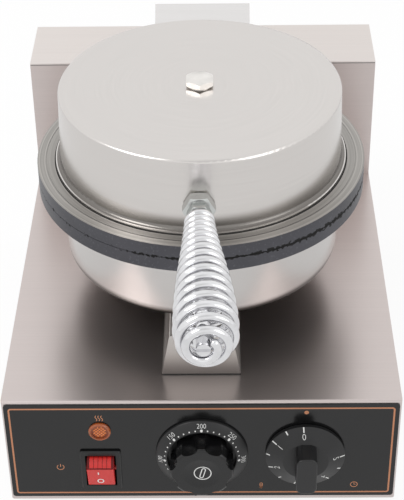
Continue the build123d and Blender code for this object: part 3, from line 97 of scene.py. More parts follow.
class Graph:
    """Adds nodes to one node tree and joins them."""

    def __init__(self, tree: bpy.types.NodeTree) -> None:
        """Starts on a tree.

        Args:
            tree: the node tree that the nodes go into.
        """
        self.tree = tree

    def add(
        self, kind: str, inputs: dict[str | int, Value] | None = None, **settings: object
    ) -> bpy.types.Node:
        """Adds a node.

        Args:
            kind: the node's type name.
            inputs: constants or sockets for its inputs, by name or number.
            settings: the node's own settings.

        Returns:
            The new node.
        """
        node = self.tree.nodes.new(kind)
        for name, setting in settings.items():
            setattr(node, name, setting)
        self.feed(node, inputs or {})
        return node

    def feed(self, node: bpy.types.Node, inputs: dict[str | int, Value]) -> None:
        """Sets or joins a node's inputs.

        Args:
            node: the node that takes them.
            inputs: constants or sockets, by name or number.
        """
        for name, value in inputs.items():
            if isinstance(value, bpy.types.NodeSocket):
                self.tree.links.new(value, node.inputs[name])
            else:
                node.inputs[name].default_value = value

    def sum(self, operation: str, *values: Value) -> bpy.types.NodeSocket:
        """Adds a Math node.

        Args:
            operation: the node's operation, such as "MULTIPLY".
            values: its inputs in order.

        Returns:
            The node's result.
        """
        return self.add("ShaderNodeMath", dict(enumerate(values)), operation=operation).outputs[0]

    def vector(self, operation: str, *values: Value) -> bpy.types.Node:
        """Adds a Vector Math node.

        Args:
            operation: the node's operation, such as "SUBTRACT".
            values: its inputs in order.

        Returns:
            The node.
        """
        return self.add("ShaderNodeVectorMath", dict(enumerate(values)), operation=operation)

    def spread(self, value: Value, low: float, high: float, start: float, end: float) -> bpy.types.NodeSocket:
        """Maps a value from one range to another, with both ends held and eased.

        Args:
            value: what is mapped.
            low: where the range starts.
            high: where it ends.
            start: the result at low.
            end: the result at high.

        Returns:
            The mapped value.
        """
        inputs = {"Value": value, "From Min": low, "From Max": high, "To Min": start, "To Max": end}
        return self.add("ShaderNodeMapRange", inputs, interpolation_type="SMOOTHSTEP").outputs[0]

    def blend(self, mask: Value, first: Value, second: Value) -> bpy.types.NodeSocket:
        """Mixes two colours.

        Args:
            mask: 0 for the first, 1 for the second.
            first: a colour or a socket.
            second: a colour or a socket.

        Returns:
            The mixed colour.
        """
        node = self.add("ShaderNodeMix", {0: mask}, data_type="RGBA")
        for number, colour in ((6, first), (7, second)):
            joined = isinstance(colour, bpy.types.NodeSocket)
            self.feed(node, {number: colour if joined else (*colour, 1.0)})
        return node.outputs[2]

    def axis(self, vector: Value, number: int) -> bpy.types.NodeSocket:
        """Takes one coordinate out of a vector.

        Args:
            vector: the vector.
            number: 0 for x, 1 for y or 2 for z.

        Returns:
            The coordinate.
        """
        return self.add("ShaderNodeSeparateXYZ", {0: vector}).outputs[number]

    def effect(self, group: bpy.types.NodeTree, inputs: dict[str, Value]) -> bpy.types.Node:
        """Places a node group.

        Args:
            group: the group's tree.
            inputs: constants or sockets for its inputs, by name.

        Returns:
            The group's node.
        """
        node = self.add("ShaderNodeGroup", node_tree=group)
        self.feed(node, inputs)
        return node


class Kind(Enum):
    """The kinds of socket that an effect has."""

    NUMBER = "NodeSocketFloat"
    VECTOR = "NodeSocketVector"


class Effects:
    """The node groups that several finishes use, each built when it is first asked for."""

    cloud_range: tuple[float, float] = (0.2, 0.8)
    speck_range: tuple[float, float] = (0.58, 0.68)
    cell_share: float = 0.6
    _made: dict[str, bpy.types.NodeTree] = {}

    @classmethod
    def _group(
        cls,
        name: str,
        inputs: dict[str, Kind],
        outputs: Sequence[str],
        body: Callable[[Graph, bpy.types.Node, bpy.types.Node], None],
    ) -> bpy.types.NodeTree:
        """Gives the group of that name.

        Args:
            name: the group's name.
            inputs: its inputs and their kinds.
            outputs: the names of its outputs, all numbers.
            body: fills the tree between its input node and its output node.

        Returns:
            The group's tree.
        """
        if name not in cls._made:
            tree = bpy.data.node_groups.new(name, "ShaderNodeTree")
            for label, kind in inputs.items():
                tree.interface.new_socket(name=label, in_out="INPUT", socket_type=kind.value)
            for label in outputs:
                tree.interface.new_socket(name=label, in_out="OUTPUT", socket_type=Kind.NUMBER.value)
            graph = Graph(tree)
            body(graph, graph.add("NodeGroupInput"), graph.add("NodeGroupOutput"))
            cls._made[name] = tree
        return cls._made[name]

    @classmethod
    def streaks(cls) -> bpy.types.NodeTree:
        """Gives fine straight lines, as brushing leaves on sheet: slow along one way, fast across it.

        Returns:
            The group's tree.
        """

        def body(graph: Graph, given: bpy.types.Node, out: bpy.types.Node) -> None:
            """Fills the group.

            Args:
                graph: the group's graph.
                given: its input node.
                out: its output node.
            """
            place = graph.vector("MULTIPLY", given.outputs["Position"], given.outputs["Stretch"]).outputs[0]
            fine = graph.add("ShaderNodeTexNoise", {"Vector": place, "Scale": 1.0, "Detail": 2.0})
            graph.feed(out, {"Lines": fine.outputs[0]})

        inputs = {"Position": Kind.VECTOR, "Stretch": Kind.VECTOR}
        return cls._group("Brushed lines", inputs, ("Lines",), body)

    @classmethod
    def rings(cls) -> bpy.types.NodeTree:
        """Gives fine lines that run round an upright axis, as turning leaves on round work.

        Returns:
            The group's tree.
        """

        def body(graph: Graph, given: bpy.types.Node, out: bpy.types.Node) -> None:
            """Fills the group.

            Args:
                graph: the group's graph.
                given: its input node.
                out: its output node.
            """
            offset = graph.vector("SUBTRACT", given.outputs["Position"], given.outputs["Centre"]).outputs[0]
            flat = graph.vector("MULTIPLY", offset, (1.0, 1.0, 0.0)).outputs[0]
            radius = graph.vector("LENGTH", flat).outputs["Value"]
            way = graph.vector("NORMALIZE", flat).outputs[0]
            around = graph.vector("MULTIPLY", way, given.outputs["Breaks"]).outputs[0]
            height = graph.axis(offset, 2)
            up = graph.sum("MULTIPLY", height, given.outputs["Density"])
            place = graph.add("ShaderNodeCombineXYZ", {2: up}).outputs[0]
            place = graph.vector("ADD", around, place).outputs[0]
            across = graph.sum("MULTIPLY", radius, given.outputs["Density"])
            inputs = {"Vector": place, "W": across, "Scale": 1.0, "Detail": 2.0}
            fine = graph.add("ShaderNodeTexNoise", inputs, noise_dimensions="4D")
            graph.feed(out, {"Lines": fine.outputs[0], "Radius": radius})

        inputs = {
            "Position": Kind.VECTOR,
            "Centre": Kind.VECTOR,
            "Density": Kind.NUMBER,
            "Breaks": Kind.NUMBER,
        }
        return cls._group("Turned lines", inputs, ("Lines", "Radius"), body)

    @classmethod
    def clouds(cls) -> bpy.types.NodeTree:
        """Gives slow, soft changes over a surface, as handling and uneven polish leave.

        Returns:
            The group's tree.
        """

        def body(graph: Graph, given: bpy.types.Node, out: bpy.types.Node) -> None:
            """Fills the group.

            Args:
                graph: the group's graph.
                given: its input node.
                out: its output node.
            """
            inputs = {"Vector": given.outputs["Position"], "Scale": given.outputs["Scale"], "Detail": 3.0}
            noise = graph.add("ShaderNodeTexNoise", inputs)
            graph.feed(out, {"Cloud": graph.spread(noise.outputs[0], *cls.cloud_range, 0.0, 1.0)})

        inputs = {"Position": Kind.VECTOR, "Scale": Kind.NUMBER}
        return cls._group("Soft clouds", inputs, ("Cloud",), body)

    @classmethod
    def pebbles(cls) -> bpy.types.NodeTree:
        """Gives a fine all-over grain, as a mould's or a casting's skin has.

        Returns:
            The group's tree.
        """

        def body(graph: Graph, given: bpy.types.Node, out: bpy.types.Node) -> None:
            """Fills the group.

            Args:
                graph: the group's graph.
                given: its input node.
                out: its output node.
            """
            shared = {"Vector": given.outputs["Position"], "Scale": given.outputs["Scale"]}
            cells = graph.add("ShaderNodeTexVoronoi", shared, feature="SMOOTH_F1")
            noise = graph.add("ShaderNodeTexNoise", {**shared, "Detail": 4.0})
            bump = graph.sum("MULTIPLY", cells.outputs[0], cls.cell_share)
            height = graph.sum("ADD", bump, noise.outputs[0])
            speck = graph.spread(noise.outputs[0], *cls.speck_range, 0.0, 1.0)
            graph.feed(out, {"Height": height, "Specks": speck})

        inputs = {"Position": Kind.VECTOR, "Scale": Kind.NUMBER}
        return cls._group("Pebble grain", inputs, ("Height", "Specks"), body)


# ---- Finishes ----------------------------------------------------------------------------------


@dataclass(frozen=True)
class Finish(ABC):
    """A surface finish: its name, its colour and how it shines.

    The colour is dimmed to the share that mottle gives where the clouds or fine lines are strongest.
    """

    name: str
    colour: Colour
    roughness: float = 0.4
    metallic: float = 0.0
    mottle: float = 0.9
    cloud_scale: float = 30.0
    cloud_rough: float = 0.06

    def start(self) -> tuple[Graph, bpy.types.Node, bpy.types.NodeSocket]:
        """Starts the material.

        Returns:
            The graph, its Principled BSDF and the rest place of the surface.
        """
        material = bpy.data.materials.new(self.name)
        material.use_nodes = True
        material.diffuse_color = (*self.colour, 1.0)
        graph = Graph(material.node_tree)
        shader = next(node for node in material.node_tree.nodes if node.type == "BSDF_PRINCIPLED")
        shader.inputs["Metallic"].default_value = self.metallic
        place = graph.add("ShaderNodeTexCoord").outputs["Object"]
        return graph, shader, place

    @abstractmethod
    def shade(self, graph: Graph, shader: bpy.types.Node, place: bpy.types.NodeSocket) -> None:
        """Joins the finish's nodes to its shader.

        Args:
            graph: the material's graph.
            shader: its Principled BSDF.
            place: the rest place of the surface.
        """

    def cloud(self, graph: Graph, place: bpy.types.NodeSocket) -> bpy.types.NodeSocket:
        """Gives slow changes over the surface.

        Args:
            graph: the material's graph.
            place: the rest place of the surface.

        Returns:
            The clouds, 0 to 1.
        """
        inputs = {"Position": place, "Scale": self.cloud_scale}
        return graph.effect(Effects.clouds(), inputs).outputs["Cloud"]

    def rough(self, graph: Graph, cloud: Value) -> bpy.types.NodeSocket:
        """Gives a roughness that varies with the clouds.

        Args:
            graph: the material's graph.
            cloud: 0 to 1 over the surface.

        Returns:
            The roughness.
        """
        return graph.sum("MULTIPLY_ADD", cloud, self.cloud_rough, self.roughness)

    def dent(
        self, graph: Graph, shader: bpy.types.Node, height: Value, distance: float, strength: float = 1.0
    ) -> None:
        """Feeds a height to the shader's normal.

        Args:
            graph: the material's graph.
            shader: its Principled BSDF.
            height: 0 to 1 over the surface.
            distance: metres that a height of 1 stands for.
            strength: share of it that shows.
        """
        inputs = {"Height": height, "Distance": distance, "Strength": strength}
        graph.feed(shader, {"Normal": graph.add("ShaderNodeBump", inputs).outputs[0]})

    def material(self) -> bpy.types.Material:
        """Gives the finish's material, made when it is first asked for.

        Returns:
            The material.
        """
        if self.name not in bpy.data.materials:
            self.shade(*self.start())
        return bpy.data.materials[self.name]


@dataclass(frozen=True)
class BrushedSheet(Finish):
    """Sheet steel with fine brushing from left to right, and painted shade toward a foot if it has one.

    The grain is stretch: how fast it changes along each axis. The painted shade at the foot starts at the
    height foot.
    """

    metallic: float = 1.0
    roughness: float = 0.2
    mottle: float = 0.82
    cloud_scale: float = 14.0
    cloud_rough: float = 0.02
    stretch: tuple[float, float, float] = (5.0, 1500.0, 1500.0)
    line_share: float = 0.5
    groove: float = 0.01 * MM
    smear: float = 0.5
    foot: float = -1.0
    foot_reach: float = 0.5
    foot_shade: float = 0.36

    def shade(self, graph: Graph, shader: bpy.types.Node, place: bpy.types.NodeSocket) -> None:
        """Joins brushed lines and slow clouds to the shader.

        Args:
            graph: the material's graph.
            shader: its Principled BSDF.
            place: the rest place of the surface.
        """
        stretch = {"Position": place, "Stretch": self.stretch}
        lines = graph.effect(Effects.streaks(), stretch).outputs["Lines"]
        cloud = self.cloud(graph, place)
        share = graph.sum("MULTIPLY", lines, self.line_share)
        tint = graph.blend(share, self.colour, shaded(self.colour, self.mottle))
        # painted shade: the sheet darkens toward a foot, where shade falls near the base
        foot = graph.spread(graph.axis(place, 2), self.foot, self.foot + self.foot_reach, 1.0, 0.0)
        tint = graph.blend(foot, tint, shaded(self.colour, self.foot_shade))
        graph.feed(shader, {"Base Color": tint, "Roughness": self.rough(graph, cloud)})
        graph.feed(shader, {"Anisotropic": self.smear})
        # reflections smear square to the lines
        tangent = graph.add("ShaderNodeTangent", direction_type="RADIAL", axis="X")
        graph.feed(shader, {"Tangent": tangent.outputs[0]})
        self.dent(graph, shader, lines, self.groove)


@dataclass(frozen=True)
class TurnedSheet(Finish):
    """Spun sheet steel, with fine lines round the pots' axis and a painted dark reflection on part of it.

    The tint, a painted dark reflection, is full at the height tint_from, fades out at tint_to and ends at
    tint_radius. Other metal mirrors the sheet in the tint, a painted reflection, by the share that
    mirrored gives.
    """

    metallic: float = 1.0
    roughness: float = 0.2
    mottle: float = 0.85
    cloud_scale: float = 16.0
    centre: tuple[float, float, float] = (0.0, 0.0, 0.0)
    density: float = 1500.0
    breaks: float = 2.0
    line_share: float = 0.5
    groove: float = 0.008 * MM
    tint: Colour = ink(120, 116, 112)
    tint_from: float = -1.0
    tint_to: float = 0.0
    tint_radius: float = 1.0
    tint_edge: float = 0.5 * MM
    mirrored: float = 0.0

    def shade(self, graph: Graph, shader: bpy.types.Node, place: bpy.types.NodeSocket) -> None:
        """Joins turned lines and slow clouds to the shader.

        Args:
            graph: the material's graph.
            shader: its Principled BSDF.
            place: the rest place of the surface.
        """
        inputs = {"Position": place, "Centre": self.centre, "Density": self.density, "Breaks": self.breaks}
        turned = graph.effect(Effects.rings(), inputs)
        lines = turned.outputs["Lines"]
        cloud = self.cloud(graph, place)
        share = graph.sum("MULTIPLY", lines, self.line_share)
        colour = graph.blend(share, self.colour, shaded(self.colour, self.mottle))
        # the painted dark reflection lies between two heights, inside a radius
        low = graph.spread(graph.axis(place, 2), self.tint_from, self.tint_to, 1.0, 0.0)
        edge = self.tint_radius
        inside = graph.spread(turned.outputs["Radius"], edge - self.tint_edge, edge, 1.0, 0.0)
        painted_dark = graph.sum("MULTIPLY", low, inside)
        # painted reflection: other metal sees the sheet in its dark tint
        glossy = graph.add("ShaderNodeLightPath").outputs["Is Glossy Ray"]
        painted_dark = graph.sum("MAXIMUM", painted_dark, graph.sum("MULTIPLY", glossy, self.mirrored))
        colour = graph.blend(painted_dark, colour, self.tint)
        graph.feed(shader, {"Base Color": colour, "Roughness": self.rough(graph, cloud)})
        self.dent(graph, shader, lines, self.groove)


@dataclass(frozen=True)
class Plated(Finish):
    """Nickel or zinc plating: bright, with faint clouds and the finest scratches."""

    metallic: float = 1.0
    roughness: float = 0.08
    mottle: float = 0.86
    cloud_scale: float = 120.0
    cloud_rough: float = 0.07
    scratch_scale: float = 2500.0
    scratch: float = 0.002 * MM

    def shade(self, graph: Graph, shader: bpy.types.Node, place: bpy.types.NodeSocket) -> None:
        """Joins clouds and scratches to the shader.

        Args:
            graph: the material's graph.
            shader: its Principled BSDF.
            place: the rest place of the surface.
        """
        cloud = self.cloud(graph, place)
        inputs = {"Position": place, "Scale": self.scratch_scale}
        grain = graph.effect(Effects.pebbles(), inputs).outputs["Height"]
        tint = graph.blend(cloud, self.colour, shaded(self.colour, self.mottle))
        graph.feed(shader, {"Base Color": tint, "Roughness": self.rough(graph, cloud)})
        self.dent(graph, shader, grain, self.scratch)


@dataclass(frozen=True)
class CastPlate(Finish):
    """Cast baking plate: turned on its flat rim, with a darker, speckled skin elsewhere.

    The flat rim faces up, or down where facing is -1, beyond the height flat_from. It has scored lines
    and, at fixed radii, a dark gap of painted shade. Crumbs are burnt on at the height seam, outside
    side_radius. They show where a noise is above a level that falls from few_above at few_at to
    many_above at many_at, both places across, and they reach further from the seam toward wide_at.
    """

    metallic: float = 1.0
    roughness: float = 0.46
    mottle: float = 0.86
    cloud_scale: float = 22.0
    centre: tuple[float, float, float] = (0.0, 0.0, 0.0)
    density: float = 900.0
    breaks: float = 1.0
    line_range: tuple[float, float] = (0.4, 0.6)
    flat_from: float = 0.0
    facing: float = 1.0
    facing_range: tuple[float, float] = (0.6, 0.9)
    scored: tuple[float, float] = (101.6 * MM, 105.1 * MM)
    scored_half: float = 0.45 * MM
    scored_share: float = 0.6
    glint: float = 1.35
    gap_radius: float = 94.8 * MM
    gap_half: float = 0.55 * MM
    skin: Colour = ink(92, 92, 97)
    skin_roughness: float = 0.42
    skin_dark: float = 0.75
    skin_pale: float = 1.5
    speck_scale: float = 700.0
    speck_share: float = 0.5
    relief: float = 0.02 * MM
    seam: float = 0.0
    seam_half: float = 0.4 * MM
    crumb_scale: float = 420.0
    crumb_noise: tuple[float, float] = (0.35, 0.7)
    crumb_reach: tuple[float, float] = (0.6, 3.4)
    few_at: float = -70 * MM
    few_above: float = 0.62
    many_at: float = 20 * MM
    many_above: float = 0.3
    wide_at: float = 70 * MM
    widening: float = 1.9
    side_radius: float = 105.4 * MM
    soot_and_shade: Colour = ink(10, 9, 9)
    soot_and_shade_rough: float = 0.4
    soot_and_shade_metal: float = -0.9

    def line(self, graph: Graph, radius: Value, place: float, half: float) -> bpy.types.NodeSocket:
        """Masks a thin line round the plate.

        Args:
            graph: the material's graph.
            radius: distance from the plate's axis.
            place: the line's radius.
            half: half its width.

        Returns:
            The mask.
        """
        away = graph.sum("ABSOLUTE", graph.sum("SUBTRACT", radius, place))
        return graph.spread(away, 0.5 * half, half, 1.0, 0.0)

    def burnt(self, graph: Graph, place: bpy.types.NodeSocket, height: Value) -> bpy.types.NodeSocket:
        """Masks the crumbs burnt on along the seam: few on the left, a ragged line on the right.

        Args:
            graph: the material's graph.
            place: the rest place of the surface.
            height: its height.

        Returns:
            The mask.
        """
        aside = graph.axis(place, 0)
        level = graph.spread(aside, self.few_at, self.many_at, self.few_above, self.many_above)
        crumbs = {"Vector": place, "Scale": self.crumb_scale, "Detail": 4.0}
        crumb = graph.add("ShaderNodeTexNoise", crumbs).outputs[0]
        reach = graph.spread(crumb, *self.crumb_noise, *self.crumb_reach)
        wider = graph.spread(aside, 0.0, self.wide_at, 1.0, self.widening)
        reach = graph.sum("MULTIPLY", reach, wider)
        away = graph.sum("ABSOLUTE", graph.sum("SUBTRACT", height, self.seam))
        near = graph.sum("LESS_THAN", away, graph.sum("MULTIPLY", reach, self.seam_half))
        return graph.sum("MULTIPLY", near, graph.sum("GREATER_THAN", crumb, level))

    def rim_colour(self, graph: Graph, turned: bpy.types.Node) -> bpy.types.NodeSocket:
        """Colours the flat rim with its turned and its scored lines.

        Args:
            graph: the material's graph.
            turned: the node of the turned lines.

        Returns:
            The colour.
        """
        lines = graph.spread(turned.outputs["Lines"], *self.line_range, 0.0, 1.0)
        face = graph.blend(lines, self.colour, shaded(self.colour, self.mottle))
        radius = turned.outputs["Radius"]
        scored = [self.line(graph, radius, ring, self.scored_half) for ring in self.scored]
        share = graph.sum("MULTIPLY", graph.sum("ADD", *scored), self.scored_share)
        return graph.blend(share, face, shaded(self.colour, self.glint))

    def skin_colour(
        self, graph: Graph, place: bpy.types.NodeSocket, specks: bpy.types.NodeSocket
    ) -> bpy.types.NodeSocket:
        """Colours the cast skin with its clouds and specks.

        Args:
            graph: the material's graph.
            place: the rest place of the surface.
            specks: the mask of the pale specks.

        Returns:
            The colour.
        """
        skin = graph.blend(self.cloud(graph, place), self.skin, shaded(self.skin, self.skin_dark))
        share = graph.sum("MULTIPLY", specks, self.speck_share)
        return graph.blend(share, skin, shaded(self.skin, self.skin_pale))

    def shade(self, graph: Graph, shader: bpy.types.Node, place: bpy.types.NodeSocket) -> None:
        """Joins the rim, the skin, the gap and the crumbs to the shader.

        Args:
            graph: the material's graph.
            shader: its Principled BSDF.
            place: the rest place of the surface.
        """
        inputs = {"Position": place, "Centre": self.centre, "Density": self.density, "Breaks": self.breaks}
        turned = graph.effect(Effects.rings(), inputs)
        radius = turned.outputs["Radius"]
        grain = graph.effect(Effects.pebbles(), {"Position": place, "Scale": self.speck_scale})
        up = graph.axis(graph.add("ShaderNodeTexCoord").outputs["Normal"], 2)
        height = graph.axis(place, 2)
        facing = graph.spread(graph.sum("MULTIPLY", up, self.facing), *self.facing_range, 0.0, 1.0)
        outer = graph.sum("SUBTRACT", height, self.flat_from)
        outer = graph.sum("GREATER_THAN", graph.sum("MULTIPLY", outer, self.facing), 0.0)
        bright = graph.sum("MULTIPLY", facing, outer)
        skin = self.skin_colour(graph, place, grain.outputs["Specks"])
        colour = graph.blend(bright, skin, self.rim_colour(graph, turned))
        # painted shade: the gap between the pot and the rim is drawn in the same black as the crumbs
        gap = graph.sum("MULTIPLY", self.line(graph, radius, self.gap_radius, self.gap_half), bright)
        side = graph.sum("SUBTRACT", 1.0, facing)
        side = graph.sum("MULTIPLY", side, graph.sum("GREATER_THAN", radius, self.side_radius))
        burnt = graph.sum("MULTIPLY", self.burnt(graph, place, height), side)
        black = graph.sum("MAXIMUM", burnt, gap)
        graph.feed(shader, {"Base Color": graph.blend(black, colour, self.soot_and_shade)})
        change = self.roughness - self.skin_roughness
        rough = graph.sum("MULTIPLY_ADD", bright, change, self.skin_roughness)
        graph.feed(shader, {"Roughness": graph.sum("MULTIPLY_ADD", black, self.soot_and_shade_rough, rough)})
        graph.feed(shader, {"Metallic": graph.sum("MULTIPLY_ADD", black, self.soot_and_shade_metal, self.metallic)})
        turning = graph.sum("MULTIPLY", turned.outputs["Lines"], bright)
        rough_skin = graph.sum("MULTIPLY", grain.outputs["Height"], graph.sum("SUBTRACT", 1.0, bright))
        self.dent(graph, shader, graph.sum("ADD", turning, rough_skin), self.relief)


@dataclass(frozen=True)
class Moulded(Finish):
    """Moulded or powder-coated surface with a fine pebbled skin."""

    mottle: float = 0.8
    cloud_scale: float = 45.0
    cloud_rough: float = 0.05
    grain: float = 1400.0
    depth: float = 0.02 * MM
    dent_share: float = 0.6
    sheen: float = 0.5
    pale: float = 1.15
    pale_share: float = 0.35

    def shade(self, graph: Graph, shader: bpy.types.Node, place: bpy.types.NodeSocket) -> None:
        """Joins pebble grain and clouds to the shader.

        Args:
            graph: the material's graph.
            shader: its Principled BSDF.
            place: the rest place of the surface.
        """
        grain = graph.effect(Effects.pebbles(), {"Position": place, "Scale": self.grain})
        cloud = self.cloud(graph, place)
        tint = graph.blend(cloud, self.colour, shaded(self.colour, self.mottle))
        share = graph.sum("MULTIPLY", grain.outputs["Specks"], self.pale_share)
        tint = graph.blend(share, tint, shaded(self.colour, self.pale))
        graph.feed(shader, {"Base Color": tint, "Roughness": self.rough(graph, cloud)})
        graph.feed(shader, {"Specular IOR Level": self.sheen})
        self.dent(graph, shader, grain.outputs["Height"], self.depth, self.dent_share)


@dataclass(frozen=True)
class Glowing(Moulded):
    """Clear coloured plastic that lets some light through."""

    depth: float = 0.004 * MM
    through: float = 0.25
    through_depth: float = 2 * MM
    clear: float = 0.5
    clear_rough: float = 0.08

    def shade(self, graph: Graph, shader: bpy.types.Node, place: bpy.types.NodeSocket) -> None:
        """Joins the moulded skin and lets light scatter under it.

        Args:
            graph: the material's graph.
            shader: its Principled BSDF.
            place: the rest place of the surface.
        """
        super().shade(graph, shader, place)
        graph.feed(shader, {"Subsurface Weight": self.through, "Subsurface Scale": self.through_depth})
        graph.feed(shader, {"Coat Weight": self.clear, "Coat Roughness": self.clear_rough})


class Finishes:
    """Every finish of the iron."""

    rim_height: float = 9.2 * MM
    rim_margin: float = 1 * MM

    def __init__(self) -> None:
        """Names the finishes and places them by the boxes of the CAD nodes."""
        pot = middle_of("upper_pot")
        centre = (pot.x, pot.y, 0.0)
        lower_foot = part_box("lower_pot")[0].z
        upper_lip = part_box("upper_pot")[0].z
        seam = (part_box("upper_baking_plate")[0].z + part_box("lower_baking_plate")[1].z) / 2
        self.shell = BrushedSheet("Brushed shell", ink(214, 204, 201), roughness=0.33)
        self.cover = BrushedSheet("Brushed cover", ink(236, 229, 225), roughness=0.36, smear=0.85)
        self.arm = BrushedSheet("Brushed arm", ink(238, 236, 235), roughness=0.24, smear=0.2)
        self.plain = BrushedSheet("Plain steel", ink(176, 174, 172), roughness=0.34)
        # painted shade: the dark strip along the tower cover's seam
        self.cover_seam_shade = BrushedSheet("Painted seam shade", ink(116, 112, 110), roughness=0.5)
        # painted shade: the pedestal darkens toward its foot
        self.pedestal = BrushedSheet(
            "Pedestal steel",
            ink(206, 202, 198),
            roughness=0.34,
            foot=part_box("pedestal")[0].z,
            foot_reach=20 * MM,
        )
        # painted dark reflection: the tint darkens a band above the lip
        self.upper_pot = TurnedSheet(
            "Spun upper pot",
            ink(219, 215, 212),
            centre=centre,
            tint_from=upper_lip + 1 * MM,
            tint_to=upper_lip + 13 * MM,
            tint_radius=93.8 * MM,
        )
        # painted dark reflection: the tint darkens the foot, and other metal sees the pot in it
        self.lower_pot = TurnedSheet(
            "Spun lower pot",
            ink(205, 202, 200),
            centre=centre,
            tint=ink(64, 60, 57),
            tint_from=lower_foot + 4 * MM,
            tint_to=lower_foot + 9 * MM,
            mirrored=0.95,
        )
        self.zinc = Plated("Zinc plating", ink(196, 195, 192), roughness=0.14)
        self.chrome = Plated("Chrome plating", ink(232, 232, 234), roughness=0.05)
        self.brass = Plated("Brass", ink(214, 178, 110), roughness=0.25)
        self.heater = Plated("Heater tube", ink(96, 92, 88), roughness=0.45)
        self.upper_plate = CastPlate(
            "Upper cast plate",
            ink(172, 169, 165),
            centre=centre,
            flat_from=seam + self.rim_height - self.rim_margin,
            seam=seam,
        )
        self.lower_plate = CastPlate(
            "Lower cast plate",
            ink(158, 155, 151),
            centre=centre,
            flat_from=seam - self.rim_height + self.rim_margin,
            facing=-1.0,
            seam=seam,
        )
        self.panel = Moulded("Coated panel", ink(11, 11, 12), roughness=0.13, depth=0.002 * MM)
        self.black = Moulded("Black plastic", ink(24, 24, 25), roughness=0.36, depth=0.012 * MM)
        self.knob = Moulded("Knob plastic", ink(14, 14, 15), roughness=0.2, depth=0.006 * MM)
        self.gloss_black = Moulded("Glossy black plastic", ink(11, 11, 12), roughness=0.28, depth=0.004 * MM)
        self.white_plastic = Moulded("White plastic", ink(225, 222, 214), roughness=0.4, mottle=0.92)
        self.rubber = Moulded("Rubber", ink(24, 24, 24), roughness=0.75, grain=900.0, depth=0.05 * MM)
        self.fibre = Moulded(
            "Mineral fibre", ink(222, 214, 196), roughness=0.95, grain=500.0, depth=0.4 * MM
        )
        self.white_print = Moulded("White print", ink(222, 222, 220), roughness=0.5, mottle=0.9)
        self.copper_print = Moulded(
            "Copper print", ink(190, 130, 96), roughness=0.4, metallic=0.3, mottle=0.88
        )
        self.nickel = Plated("Nickel plating", ink(204, 206, 204), roughness=0.16)
        self.bright = Plated("Bright steel", ink(240, 237, 233), roughness=0.3)
        self.lens = Glowing("Amber lens", ink(136, 62, 22), roughness=0.2, through=0, clear=0.1)
        # painted highlight: the pyramids take a lighter amber than the lens
        self.facets = Glowing(
            "Amber facets with painted highlight", ink(222, 124, 52), roughness=0.2, mottle=0.9, through=0, clear=0.1
        )
        self.amber = Glowing("Amber plastic", ink(160, 80, 30), roughness=0.2)
        self.red = Glowing("Red plastic", ink(204, 36, 32), roughness=0.4, mottle=0.9, clear=0.05)
        # painted shade: dark red strips between the rocker's ribs, beside them and at its fold
        self.red_shade = Moulded("Painted red shade", ink(92, 12, 14), roughness=0.5, mottle=0.9, sheen=0.25)


# ---- Meshes ------------------------------------------------------------------------------------


def front_place(x: float, y: float, z: float) -> Matrix:
    """Gives a place that looks out of the front: local Z comes toward the cook and local Y goes up.

    Args:
        x: place across.
        y: place in depth.
        z: height.

    Returns:
        The place's matrix.
    """
    turn = Matrix(((1, 0, 0), (0, 0, -1), (0, 1, 0))).to_4x4()
    return Matrix.Translation((x, y, z)) @ turn


def circle(radius: float, count: int) -> list[Point]:
    """Gives points evenly round a circle.

    Args:
        radius: the circle's radius.
        count: how many points.

    Returns:
        The points, counter-clockwise from the right.
    """
    angles = [FULL_TURN * i / count for i in range(count)]
    return [(radius * math.cos(angle), radius * math.sin(angle)) for angle in angles]


def rounded_box(width: float, height: float, corner: float, count: int) -> list[Point]:
    """Gives points round a rectangle with rounded corners.

    Args:
        width: its width.
        height: its height.
        corner: radius of its corners.
        count: points in each corner.

    Returns:
        The points, counter-clockwise from the right end of the top right corner.
    """
    points = []
    for quarter in range(4):
        side_x = 1 if quarter in (0, 3) else -1
        side_y = 1 if quarter in (0, 1) else -1
        for i in range(count + 1):
            angle = math.pi / 2 * (quarter + i / count)
            x = side_x * (width / 2 - corner) + corner * math.cos(angle)
            y = side_y * (height / 2 - corner) + corner * math.sin(angle)
            points.append((x, y))
    return points


def polar(radius: float, degrees: float) -> Point:
    """Gives the point at a radius and an angle, counter-clockwise from the top.

    Args:
        radius: distance from the middle.
        degrees: the angle.

    Returns:
        The point.
    """
    angle = math.radians(degrees)
    return (-radius * math.sin(angle), radius * math.cos(angle))


def capsule(length: float, width: float, degrees: float, count: int = 8) -> list[Point]:
    """Gives points round a bar with round ends.

    Args:
        length: its whole length.
        width: its width.
        degrees: how far it leans, counter-clockwise from upright.
        count: points round each end.

    Returns:
        The points, counter-clockwise.
    """
    turn = Matrix.Rotation(math.radians(degrees), 2)
    points = []
    for end in (1, -1):
        for i in range(count + 1):
            angle = math.pi * i / count
            x = end * width / 2 * math.cos(angle)
            y = end * ((length - width) / 2 + width / 2 * math.sin(angle))
            points.append(tuple(turn @ Vector((x, y))))
    return points


